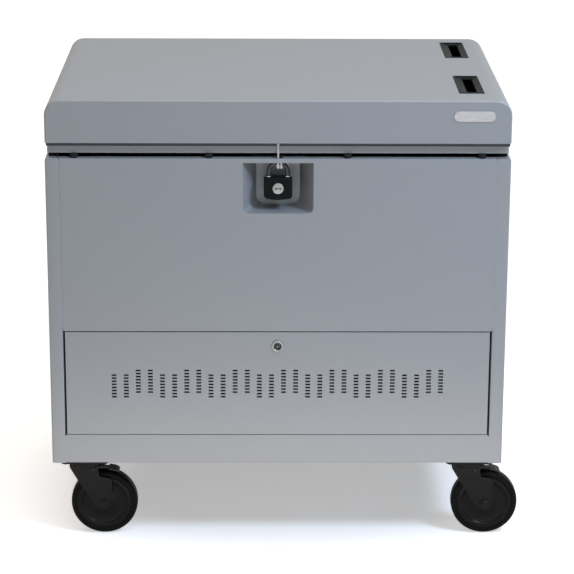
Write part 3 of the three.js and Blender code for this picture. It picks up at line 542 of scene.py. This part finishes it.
def seating():
    """Sets a shape on every seat, standing along the seat's own direction."""
    tree = pattern("seated_fittings", "Fittings",
                   Seats="Geometry", Shape="Object", Size="Float", Finish="Material")
    given = add(tree, "NodeGroupInput").outputs
    shape = add(tree, "GeometryNodeObjectInfo", {"Object": given["Shape"]}).outputs["Geometry"]
    facing = add(tree, "GeometryNodeInputNamedAttribute", {"Name": "facing"},
                 data_type="FLOAT_VECTOR").outputs["Attribute"]
    turn = add(tree, "FunctionNodeAlignRotationToVector", {"Vector": facing}, axis="Z").outputs["Rotation"]
    placed = add(tree, "GeometryNodeInstanceOnPoints", {
        "Points": given["Seats"], "Instance": shape, "Rotation": turn, "Scale": given["Size"]})
    real = add(tree, "GeometryNodeRealizeInstances", {"Geometry": placed.outputs["Instances"]})
    done = add(tree, "GeometryNodeSetMaterial", {
        "Geometry": real.outputs["Geometry"], "Material": given["Finish"]})
    add(tree, "NodeGroupOutput", {"Fittings": done.outputs["Geometry"]})
    return tree


def slotting():
    """Cuts a row of equal openings into a bar along x."""
    tree = pattern("row_of_openings", "Slotted", Bar="Geometry", Cutter="Object", Count="Int",
                   First="Vector", Pitch="Float", Finish="Material")
    given = add(tree, "NodeGroupInput").outputs
    shape = add(tree, "GeometryNodeObjectInfo", {"Object": given["Cutter"]}).outputs["Geometry"]
    step = add(tree, "ShaderNodeCombineXYZ", {"X": given["Pitch"]}).outputs["Vector"]
    row = add(tree, "GeometryNodeMeshLine", {
        "Count": given["Count"], "Start Location": given["First"], "Offset": step}).outputs["Mesh"]
    placed = add(tree, "GeometryNodeInstanceOnPoints", {"Points": row, "Instance": shape})
    cutters = add(tree, "GeometryNodeRealizeInstances", {"Geometry": placed.outputs["Instances"]})
    cut = add(tree, "GeometryNodeMeshBoolean", {
        "Mesh 1": given["Bar"], "Mesh 2": cutters.outputs["Geometry"]},
        operation="DIFFERENCE", solver="EXACT")
    done = add(tree, "GeometryNodeSetMaterial", {
        "Geometry": cut.outputs["Mesh"], "Material": given["Finish"]})
    add(tree, "NodeGroupOutput", {"Slotted": done.outputs["Geometry"]})
    return tree


SEATING = seating()
SLOTTING = slotting()


def grow(holder, tree, **values):
    """Runs a tree on an object with its named inputs, and keeps the result as a plain mesh."""
    modifier = holder.modifiers.new("fittings", "NODES")
    modifier.node_group = tree
    for item in tree.interface.items_tree:
        if item.name in values:
            modifier[item.identifier] = values[item.name]
    grown = holder.evaluated_get(bpy.context.evaluated_depsgraph_get())
    mesh = bpy.data.meshes.new_from_object(grown)
    holder.modifiers.clear()
    holder.data = mesh


def seat(name, shape, seats, body, slot, material=None, size=1.0):
    """Copies of a shape on seats, each a spot and a direction, as one piece on a body."""
    mesh = bpy.data.meshes.new(name)
    mesh.from_pydata([spot for spot, _ in seats], [], [])
    facing = mesh.attributes.new("facing", "FLOAT_VECTOR", "POINT")
    facing.data.foreach_set("vector", [value for _, way in seats for value in way])
    holder = bpy.data.objects.new(name, mesh)
    bpy.context.scene.collection.objects.link(holder)
    grow(holder, SEATING, Shape=shape, Size=size, Finish=material or FINISHES[slot])
    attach(holder, body)


def cross_screw():
    """Pan head, 7.6 mm across, with a cross recess."""
    head = lathe(bmesh.new(), [(0, 2.5), (1.6, 2.35), (2.9, 1.8), (3.6, 0.9), (3.8, 0.1), (3.8, 0), (0, 0)],
                 (0, 0, 0), UP, 16)
    for wide, tall in ((1.7, 0.45), (0.45, 1.7)):
        head = carve(head, block(bmesh.new(), (-wide, -tall, 1.3), (wide, tall, 3.7)))
    return link("cross_screw", head, None)


def dome_rivet():
    """Rivet head, 8 mm across."""
    dome = lathe(bmesh.new(), [(0, 1.9), (1.6, 1.7), (2.9, 1.1), (3.7, 0.35), (4, 0), (0, 0)],
                 (0, 0, 0), UP, 20)
    return link("dome_rivet", dome, None)


def contact_blade():
    """Flat pin of a power inlet, 4 by 2 mm, with rounded edges."""
    blade = block(bmesh.new(), (-1, -2, 0), (1, 2, 13))
    soften(blade, 0.6, 2)
    return link("contact_blade", blade, None)


def tread_rib():
    """Half-round rib across a brake pedal, 22 mm long."""
    rib = bmesh.new()
    arc = [Vector((1.1 * cos(a), 0, 0.9 * sin(a))) for a in [pi * k / 8 for k in range(9)]]
    ends = [[rib.verts.new((p + Vector((0, y, 0))) * MM) for p in arc] for y in (-11, 11)]
    for k in range(9):
        rib.faces.new([ends[0][k - 1], ends[0][k], ends[1][k], ends[1][k - 1]])
    rib.faces.new(ends[0])
    rib.faces.new(ends[1])
    bmesh.ops.recalc_face_normals(rib, faces=rib.faces)
    return link("tread_rib", rib, None)


def outlet_cutter():
    """Two upright slots and a round earth hole, as one cutter."""
    cutter = bmesh.new()
    for x, low, high in ((-3.2, -2, 6), (3.2, -1.5, 5.5)):
        block(cutter, (x - 1, low, -6), (x + 1, high, 6))
    lathe(cutter, [(0, -6), (2.4, -6), (2.4, 6), (0, 6)], Vector((0, -7, 0)) * MM, UP, 16)
    return link("outlet_cutter", cutter, None)


# Cabinet, lid and door: folded sheet and pressed pieces

for folded in ("side_panel_left", "side_panel_right", "base_pan", "rear_panel", "mid_shelf",
               "upper_front_panel", "lock_recess", "lid_shell", "lid_inner_frame"):
    dress(folded, 0.4)
dress("lower_door", 0)
for pressed in ("hasp_staple", "hasp_tab", "door_pivot_left", "door_pivot_right", "power_controller",
                "hinge_pin_left", "hinge_pin_right", "hinge_leaf_body_left", "hinge_leaf_body_right",
                "hinge_leaf_lid_left", "hinge_leaf_lid_right"):
    dress(pressed, 0.4)
for moulded in ("divider_rack_front", "divider_rack_rear", "power_inlet", "brake_pedal_front_left",
                "brake_pedal_front_right"):
    dress(moulded, 0.6)
for place in PLACES:
    dress(f"handle_cup_{place}", 0.6, material=GRIP_NYLON)


def seams():
    """Welds ground flush where the sheets meet the posts, thin lips over the gaps above and below the door,
    and dark rubber strips over the door's pivots and under the lid's sides: painted shade, dark sheets set in
    those gaps to stand for their shade."""
    (_, front, low), (left, back, high) = extents("side_panel_left")
    right = extents("side_panel_right")[0].x
    rail, panel = extents("base_pan")[1].z, extents("upper_front_panel")[0].z
    face, thick = front - 0.01, 0.75
    metal, rubber = bmesh.new(), bmesh.new()
    for low_edge, high_edge in ((rail - 3, rail + 2.1), (panel - 2.3, panel + 3.2)):
        block(metal, (left + 0.5, face, low_edge), (right - 0.5, front + thick, high_edge))
    for edge, way in ((left, 1), (right, -1)):
        inner, outer = edge + 0.6 * way, edge - 3 * way
        block(metal, (outer, face, low + 0.8), (inner, front + 2.5, rail - 0.6))
        block(metal, (outer, front + 0.5, panel + 0.8), (inner, front + 2.5, high - 3))
        block(metal, (edge - 0.7 * way, back - 4, low + 0.5), (inner, back - 1.2, high - 0.5))
        # dark strips as painted shade: in the door's side gaps over the pivots, and under the lid's sides
        block(rubber, (edge + 0.1 * way, front + 2, rail + 2), (edge + 3.1 * way, front + 2.9, rail + 34))
        block(rubber, (edge - 20 * way, front + 20, high), (edge, back - 30, high + 7.6))
    make("ground_seams", metal, "cabinet", "coat")
    make("dust_seals", rubber, "cabinet", "bumper")


seams()


def lid_seal():
    """Grey rubber strip under the front of the lid's skirt, parted by the hasp's tab: painted shadow, a grey
    sheet set where the skirt's shade falls on the frame below it.
    """
    low, high = extents("lid_shell")
    tab, tall = middle("hasp_tab").x / MM, 5
    shadow_strip = bmesh.new()
    for x, far_x in ((low.x + 2.3, tab - 2.5), (tab + 2.5, high.x - 2.3)):
        # grey strips either side of the tab, as painted shadow under the skirt
        block(shadow_strip, (x, low.y + 0.4, low.z - tall), (far_x, low.y + 2.4, low.z))
    make("lid_seal", shadow_strip, "lid", "bumper", material=PAINTED_SHADOW_GREY)


lid_seal()


def lid_plate():
    """Blank pill-shaped plate on the lid's front."""
    low, high = extents("lid_shell")
    from_end, from_top = 67.7, 28.8
    half_long, half_tall, radius = 37.5, 9.5, 9.4
    x, z = high.x - from_end, high.z - from_top
    pill = rounded([(x + half_long * a, z + half_tall * b, radius)
                    for a, b in ((-1, -1), (1, -1), (1, 1), (-1, 1))])
    plate = slab(bmesh.new(), pill, low.y - 1.5, low.y - 0.02)
    soften(plate, 0.5, 3)
    make("lid_plate", plate, "lid", "chrome", material=ALUMINIUM, flats=True)


lid_plate()


def grip_bezels():
    """Rolled rim round each grip's mouth, with a shallow dish that leads the fingers down into the cup. Each
    row of its section gives an inset, a share of the dish's widths and a rise."""
    lid_high, bend, mouth = extents("lid_shell")[1], 45, 46.3
    right, top = lid_high.x - bend, lid_high.z
    left = right - mouth
    dish_left, dish_right, dish_front, dish_rear = 14, 9, 22, 9
    section = ((0.3, 0, 0), (0.1, 0, 0.6), (0.7, 0, 1.1), (2.2, 0, 1.2), (3, 0, 0.7), (3, 0.1, -0.2),
               (3, 0.9, -2.6), (3, 1, -4.4), (3, 0.9, -5.6), (3, 0, -3), (0.3, 0, -3))
    for place in PLACES:
        low, high = extents(f"handle_cup_{place}")
        rim = bmesh.new()
        rows = []
        for inset, share, rise in section:
            x, far_x = left + inset + dish_left * share, right - inset - dish_right * share
            y, far_y = low.y + inset + dish_front * share, high.y - inset - dish_rear * share
            rows.append([rim.verts.new(Vector((*spot, top + rise)) * MM)
                         for spot in ((x, y), (far_x, y), (far_x, far_y), (x, far_y))])
        for near, far in zip(rows, rows[1:] + rows[:1]):
            for k in range(4):
                rim.faces.new([near[k - 1], near[k], far[k], far[k - 1]])
        bmesh.ops.recalc_face_normals(rim, faces=rim.faces)
        make(f"grip_bezel_{place}", rim, "lid", "black_plastic", material=GRIP_NYLON, flats=True)


grip_bezels()

for bumper in range(1, 5):
    spot = middle(f"lid_bumper_{bumper}")
    tall = extents(f"lid_bumper_{bumper}")[1].z - spot.z / MM
    stop = lathe(bmesh.new(), [(0, -tall), (7, -tall), (7, tall - 2), (6.6, tall - 0.9), (5.6, tall - 0.2),
                               (4.6, tall), (0, tall)], spot, UP, 40)
    make(f"lid_bumper_{bumper}_turned", stop, "cabinet", "bumper", [f"lid_bumper_{bumper}"])


# Padlock

def shackle_wire(x, y, radius, ends):
    """Bow of round wire: up one leg, over, and down the other."""
    wire, chamfer = 4, 0.8
    shoulder = extents("padlock_shackle")[1].z - wire - radius
    route = [Vector((x - radius, y, ends[-1])), Vector((x - radius, y, ends[-1] + chamfer))]
    route += [Vector((x - radius, y, ends[-1] + k * (shoulder - ends[-1]) / 4)) for k in range(1, 4)]
    route += [Vector((x - radius * cos(pi * k / 32), y, shoulder + radius * sin(pi * k / 32)))
              for k in range(33)]
    route += [Vector((x + radius, y, shoulder + k * (ends[1] - shoulder) / 4)) for k in range(1, 4)]
    route += [Vector((x + radius, y, ends[1] + chamfer)), Vector((x + radius, y, ends[1]))]
    bow = sweep(bmesh.new(), [spot * MM for spot in route], wire)
    make("padlock_shackle_wire", bow, "padlock_shackle", "chrome", ["padlock_shackle"], DARK_NICKEL)


def case_cover(x, y, radius, ends, face, deep):
    """Covered case with a bowed underside, bored for the shackle's legs and for the plug."""
    low, high = extents("padlock_case")
    half, sag, low_corner, high_corner = high.x - x, 3.2, 5, 6
    belly = [(half - 2 * half * k / 12, sag * (2 * k / 12 - 1) ** 2) for k in range(1, 12)]
    outline = rounded([(x - half, low.z + sag, low_corner), (x - half, high.z, high_corner),
                       (x + half, high.z, high_corner), (x + half, low.z + sag, low_corner)])
    outline = outline[3:-3] + [Vector((x + a, low.z + b)) for a, b in belly]
    cover = slab(bmesh.new(), outline, low.y, high.y)
    soften(cover, 3, 4)
    bores, leg_bore, plug_bore, play = bmesh.new(), 4.5, 10.3, 1.5
    for side in (-1, 1):
        start = Vector((x + side * radius, y, ends[side] - play)) * MM
        reach = high.z + 2 - ends[side] + play
        lathe(bores, [(0, 0), (leg_bore, 0), (leg_bore, reach), (0, reach)], start, UP, 32)
    floor = deep + 0.3
    lathe(bores, [(0, -2), (plug_bore, -2), (plug_bore, floor), (0, floor)], face * MM, BACK, 48)
    make("padlock_cover", carve(cover, bores), "padlock_case", "lock_cover", ["padlock_case"], flats=True)


def case_bushings(x, y, radius):
    """Turned ring in each leg's bore."""
    top, rings = extents("padlock_case")[1].z, bmesh.new()
    for side in (-1, 1):
        spot = Vector((x + side * radius, y, top)) * MM
        lathe(rings, [(4.55, -3), (4.55, 0.9), (4.9, 1.3), (5.6, 1.3), (6.1, 0.7), (6.1, -3)], spot, UP, 40)
    make("padlock_bushings", rings, "padlock_case", "chrome")


def plug_face(face, deep):
    """Turned plug with a ring groove, and a slit with round ends for the key."""
    plug = lathe(bmesh.new(), [(0, 0), (8.2, 0), (8.6, 0.25), (8.9, 0.25), (9.2, 0), (9.6, 0), (10, 0.4),
                               (10, deep), (0, deep)], face * MM, BACK, 56)
    half_slit, keyway = Vector((4.1, 7, 0.6)), bmesh.new()
    for side in (-1, 1):
        end = (face + RIGHT * half_slit.x * side) * MM
        lathe(keyway, [(0, -1), (1.9, -1), (1.9, 6), (0, 6)], end, BACK, 20)
    plug = carve(plug, keyway)
    slit = block(bmesh.new(), face - half_slit, face + half_slit)
    make("padlock_plug_face", carve(plug, slit), "padlock_plug", "chrome", ["padlock_plug"], NICKEL)


def padlock():
    """Finds the places that the padlock's pieces share: its middle, its legs' ends and its plug's face."""
    case_low, case_high = extents("padlock_case")
    plug_low, plug_high = extents("padlock_plug")
    x, y = (case_low.x + case_high.x) / 2, (case_low.y + case_high.y) / 2
    radius, short_by, foot = 17, 15, extents("padlock_shackle")[0].z
    ends = {-1: foot, 1: foot + short_by}
    face, deep = Vector((x, plug_low.y, (plug_low.z + plug_high.z) / 2)), plug_high.y - plug_low.y
    shackle_wire(x, y, radius, ends)
    case_cover(x, y, radius, ends, face, deep)
    case_bushings(x, y, radius)
    plug_face(face, deep)


padlock()


def door_lock():
    """Round-key lock of the door: a turned ring, and in it a domed plug with a ring-shaped keyway round a
    pin."""
    low, high = extents("cam_lock_barrel")
    centre = Vector(((low.x + high.x) / 2, low.y, (low.z + high.z) / 2))
    deep = high.y - low.y
    ring = lathe(bmesh.new(), [
        (7.3, 1.2), (7.7, 0.7), (8.6, 0.2), (9.3, 0), (10.2, 0.25), (10.8, 0.9), (11, 1.8), (11, 2.5),
        (9.4, 2.5), (9.4, deep), (7.3, deep)], centre * MM, BACK, 56)
    make("door_lock_ring", ring, "lower_door", "chrome", ["cam_lock_barrel"], NICKEL)

    plug = merged_copy("cam_lock_plug")
    face = Vector((centre.x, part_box("cam_lock_plug")[0][1] / MM, centre.z))
    keyway = lathe(bmesh.new(), [(2.2, -1), (4.4, -1), (4.4, 3), (2.2, 3)], face * MM, BACK, 40)
    plug = carve(plug, keyway)
    dome = lathe(bmesh.new(), [(4, -1), (4, 1.1), (4.9, 0.3), (5.6, 0), (6.2, 0.3), (6.8, 1.2), (8, 1.6),
                               (8, -1)], face * MM, BACK, 56)
    plug = carve(plug, dome)
    make("door_lock_plug", plug, "cam_lock", "chrome", ["cam_lock_plug"], DARK_NICKEL)
    pin = lathe(bmesh.new(), [(0, 0.1), (1.2, 0.2), (1.7, 0.7), (1.8, 1.4), (1.8, 3.2), (0, 3.2)],
                face * MM, BACK, 24)
    make("door_lock_pin", pin, "cam_lock", "chrome", material=NICKEL)


door_lock()


# Casters

def wheel(caster):
    """Nylon core with a stepped web and hub, and a rubber tyre with rounded shoulders."""
    node = f"caster_wheel_{caster}"
    centre, body = middle(node), BODY_OF[node]
    low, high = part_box(node)
    axis = BACK if high[1] - low[1] < high[0] - low[0] else RIGHT
    near = [(6.3, -17.4), (12.4, -17.4), (13.6, -16.6), (14.4, -13.2), (17.5, -12), (40.3, -12),
            (41.6, -12.5), (43.6, -15.4), (44.8, -16), (51.4, -15.9), (51.9, -15.5)]
    core = lathe(bmesh.new(), near + [(r, -y) for r, y in near[::-1]], centre, axis, 96)
    make(f"wheel_core_{caster}", core, body, "wheel", [node], CORE)
    near = [(52, -14.8), (52.9, -15), (53.4, -15.8), (56.5, -15.9), (59.6, -14.9), (61.8, -12.9),
            (63, -10.2), (63.4, -6), (63.45, 0)]
    tyre = lathe(bmesh.new(), near + [(r, -y) for r, y in near[-2::-1]], centre, axis, 96)
    make(f"wheel_tyre_{caster}", tyre, body, "wheel")


def axle(caster):
    """Bolt through the fork, with a washer and a chamfered hexagon at each end."""
    node = f"caster_axle_{caster}"
    centre = middle(node)
    low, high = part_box(node)
    axis = BACK if high[1] - low[1] > high[0] - low[0] else RIGHT
    bolt = lathe(bmesh.new(), [(0, -26), (6, -26), (6, 26), (0, 26)], centre, axis, 32)
    washer = [(6, 22.1), (9.4, 22.1), (9.4, 23.1), (9, 23.4), (6, 23.4)]
    hexagon = [(0, 23.4), (8.2, 23.4), (8.2, 26.2), (7.2, 27), (0, 27)]
    for side in (-1, 1):
        lathe(bolt, [(radius, along * side) for radius, along in washer], centre, axis, 40)
        lathe(bolt, [(radius, along * side) for radius, along in hexagon], centre, axis, 6)
    make(f"axle_bolt_{caster}", bolt, BODY_OF[node], "black_steel", [node])


def plate_top(caster):
    """Middle of a caster plate's upper face, in metres."""
    spot = middle(f"caster_plate_{caster}")
    spot.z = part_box(f"caster_plate_{caster}")[1][2]
    return spot


def crown(caster):
    """Pressed swivel crown over the fork's head, and the raceway above it."""
    spot = plate_top(caster)
    cup = lathe(bmesh.new(), [(24, -24), (27.5, -24.2), (29.6, -22.6), (30.6, -19.8), (30.8, -16),
                              (30.4, -13), (29.2, -11.6), (24, -11.4)], spot, UP, 64)
    make(f"swivel_crown_{caster}", cup, f"swivel_{caster}", "black_steel")
    race = lathe(bmesh.new(), [(20, -10.9), (26.8, -10.9), (28, -9.9), (28.3, -7.5), (27.6, -5.4),
                               (26.4, -4.4), (20, -4.4)], spot, UP, 64)
    make(f"swivel_race_{caster}", race, "cabinet", "black_steel")


for caster in CASTERS:
    dress(f"caster_plate_{caster}", 0.8)
    dress(f"caster_fork_{caster}", 0.8, 3)
    wheel(caster)
    axle(caster)
    crown(caster)


# Screws, bolts, rivets, ribs and contacts

def fastenings():
    screw, rivet, blade, rib = cross_screw(), dome_rivet(), contact_blade(), tread_rib()

    half_wide, half_deep, plate = 36, 47, 4
    seats = [(plate_top(caster) + Vector((half_wide * a, half_deep * b, -plate)) * MM, DOWN)
             for caster in CASTERS for a in (-1, 1) for b in (-1, 1)]
    seat("caster_bolts", rivet, seats, "cabinet", "black_steel", size=1.7)

    for part, body, up in (("body", "cabinet", -1), ("lid", "lid", 1)):
        seats, leaf = [], 2.5 * MM
        for side in SIDES:
            low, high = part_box(f"hinge_leaf_{part}_{side}")
            x, end = (low[0] + high[0]) / 2, high[2] if up > 0 else low[2]
            seats += [(Vector((x + a * MM, low[1] + leaf, end - up * b * MM)), BACK)
                      for a, b in ((-28, 12), (0, 12), (28, 12), (-28, 34), (28, 34))]
        seat(f"hinge_screws_{part}", screw, seats, body, "galvanised")

    inlet, outside, socket = middle("power_inlet"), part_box("power_inlet")[1][1], 16 * MM
    ends = [(Vector((inlet.x + a * MM, outside, inlet.z)), BACK) for a in (-26, 26)]
    seat("inlet_screws", screw, ends, "cabinet", "galvanised", size=0.72)
    pins = [(Vector((inlet.x + a * MM, outside - socket, inlet.z + b * MM)), BACK)
            for a, b in ((-7, -2), (0, 2.5), (7, -2))]
    seat("inlet_contacts", blade, pins, "cabinet", "chrome", NICKEL)

    (low, high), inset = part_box("power_controller"), 12 * MM
    spots = [(Vector((x, low[1], z)), FRONT) for x in (low[0] + inset, high[0] - inset)
             for z in (low[2] + inset, high[2] - inset)]
    seat("controller_screws", screw, spots, "cabinet", "galvanised", size=0.8)

    seats, stub, from_front, from_foot = [], 7.8 * MM, 13 * MM, 22 * MM
    for side, way in (("left", 1), ("right", -1)):
        low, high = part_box(f"door_pivot_{side}")
        inner = high[0] - stub if way > 0 else low[0] + stub
        seats.append((Vector((inner, low[1] + from_front, low[2] + from_foot)), RIGHT * way))
    seat("pivot_rivets", rivet, seats, "cabinet", "galvanised", size=0.8)

    from_tip, spacing, below, climb = 10.5, 3.1, 5.45, 0.65
    for side in SIDES:
        low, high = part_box(f"brake_pedal_front_{side}")
        y, tip = (low[1] + high[1]) / 2, high[0]
        ribs = [(Vector((tip - (from_tip + spacing * k) * MM, y, high[2] - (below - climb * k) * MM)),
                 Vector((0.2, 0, 1))) for k in range(3)]
        seat(f"pedal_ribs_{side}", rib, ribs, f"brake_front_{side}", "black_plastic")

    for shape in (screw, rivet, blade, rib):
        bpy.data.objects.remove(shape)


fastenings()


def outlets():
    """Slots for an adapter's pins in each raised outlet of both strips."""
    cutter = outlet_cutter()
    for place in PLACES:
        node = f"outlet_strip_{place}"
        low, high = [Vector(corner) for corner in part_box(node)]
        edited = merged_copy(node)
        soften(edited, 0.6)
        strip = link(f"{node}_slotted", edited, FINISHES["black_plastic"])
        count, margin = 16, 10 * MM
        pitch = (high.x - low.x - 2 * margin) / count
        first = Vector((low.x + margin + pitch / 2, (low.y + high.y) / 2, high.z))
        grow(strip, SLOTTING, Cutter=cutter, Count=count, First=first, Pitch=pitch,
             Finish=FINISHES["black_plastic"])
        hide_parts(node)
        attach(strip, BODY_OF[node])
    bpy.data.objects.remove(cutter)


outlets()


# Stage, light and camera

def seen_share(tree):
    """1 for the camera and in reflections, and 0 for the light that falls on things."""
    rays = add(tree, "ShaderNodeLightPath").outputs
    share = rays["Is Camera Ray"]
    for ray in ("Is Glossy Ray", "Is Transmission Ray"):
        share = add(tree, "ShaderNodeMath", {0: share, 1: rays[ray]}, operation="MAXIMUM").outputs[0]
    return share


def stage_floor():
    """Pale floor: it keeps the cart's shadow, and its glow to the eye is painted dimmer near the cart, a
    painted shadow round it, rising to white away from the cart.
    """
    material, tree, place = finish("pale_studio_floor")
    seen = seen_share(tree)
    diffuse = add(tree, "ShaderNodeBsdfDiffuse", {"Color": linear("#f3f3f3")})
    away = add(tree, "ShaderNodeVectorMath", {0: place}, operation="LENGTH").outputs["Value"]
    # glow to the eye by distance from the cart: dimmer near it as painted shadow, full white away from it
    white = add(tree, "ShaderNodeMapRange", {
        "Value": away, "From Min": 0.26, "From Max": 0.6, "To Min": 0.37, "To Max": 0.68},
        interpolation_type="SMOOTHSTEP").outputs["Result"]
    glow_with_painted_shadow = add(tree, "ShaderNodeMath", {0: seen, 1: white}, operation="MULTIPLY")
    emission = add(tree, "ShaderNodeEmission", {"Color": (1, 1, 1, 1), "Strength": glow_with_painted_shadow.outputs[0]})
    both = add(tree, "ShaderNodeAddShader", {0: diffuse.outputs[0], 1: emission.outputs[0]})
    add(tree, "ShaderNodeOutputMaterial", {"Surface": both.outputs[0]})
    ground = bmesh.new()
    bmesh.ops.create_grid(ground, x_segments=1, y_segments=1, size=30)
    link("floor", ground, material)


def studio_world():
    """White to the camera and in reflections, and a plain grey fill on everything else."""
    world = bpy.data.worlds.new("studio")
    world.use_nodes = True
    bpy.context.scene.world = world
    tree = world.node_tree
    tree.nodes.clear()
    seen = seen_share(tree)
    level = add(tree, "ShaderNodeMapRange", {"Value": seen, "To Min": 0.03, "To Max": 1.0})
    sky = add(tree, "ShaderNodeBackground", {"Color": (1, 1, 1, 1), "Strength": level.outputs["Result"]})
    add(tree, "ShaderNodeOutputWorld", {"Surface": sky.outputs["Background"]})


def softbox(name, place, target, wide, tall, power, tint):
    """Soft light near the cart, out of the camera's view. Its place, target and sides are in metres."""
    data = bpy.data.lights.new(name, "AREA")
    data.shape, data.size, data.size_y = "RECTANGLE", wide, tall
    data.energy, data.color = power, linear(tint)[:3]
    made = bpy.data.objects.new(name, data)
    made.location = place
    made.rotation_euler = (Vector(target) - Vector(place)).to_track_quat("-Z", "Y").to_euler()
    bpy.context.scene.collection.objects.link(made)


def ceiling_light(spread, power, tint):
    """Even light from straight above, with its spread in degrees."""
    data = bpy.data.lights.new("ceiling", "SUN")
    data.energy, data.angle, data.color = power, radians(spread), linear(tint)[:3]
    bpy.context.scene.collection.objects.link(bpy.data.objects.new("ceiling", data))


def photograph_camera():
    """The photograph's view: a little left of the middle, looking down by about 17 degrees."""
    data = bpy.data.cameras.new("camera")
    data.sensor_width = 36
    data.lens = 142.762
    data.clip_end = 100
    made = bpy.data.objects.new("camera", data)
    place = Vector((-47.84, -4318.28, 1716.78)) * MM
    pan, tilt, roll = -0.01147, radians(73.2245), 0.004625
    turn = Matrix.Rotation(pan, 4, "Z") @ Matrix.Rotation(tilt, 4, "X") @ Matrix.Rotation(roll, 4, "Z")
    made.matrix_world = Matrix.Translation(place) @ turn
    bpy.context.scene.collection.objects.link(made)
    bpy.context.scene.camera = made


stage_floor()
studio_world()
ceiling_light(spread=70, power=1.4, tint="#fff0e2")
softbox("front_light", (0.1, -1.3, 1.9), (0, -0.3, 0.8), wide=1, tall=0.6, power=3, tint="#e6f0ff")
softbox("side_light", (1.9, -1.7, 2.6), (0.2, -0.3, 0.7), wide=0.7, tall=0.7, power=64, tint="#d0e5ff")
softbox("low_fill", (0, -0.64, 0.045), (0, -0.3, 0.18), wide=1.15, tall=0.05, power=0.98, tint="#ffeddd")
photograph_camera()
bpy.context.scene.view_settings.view_transform = "Standard"
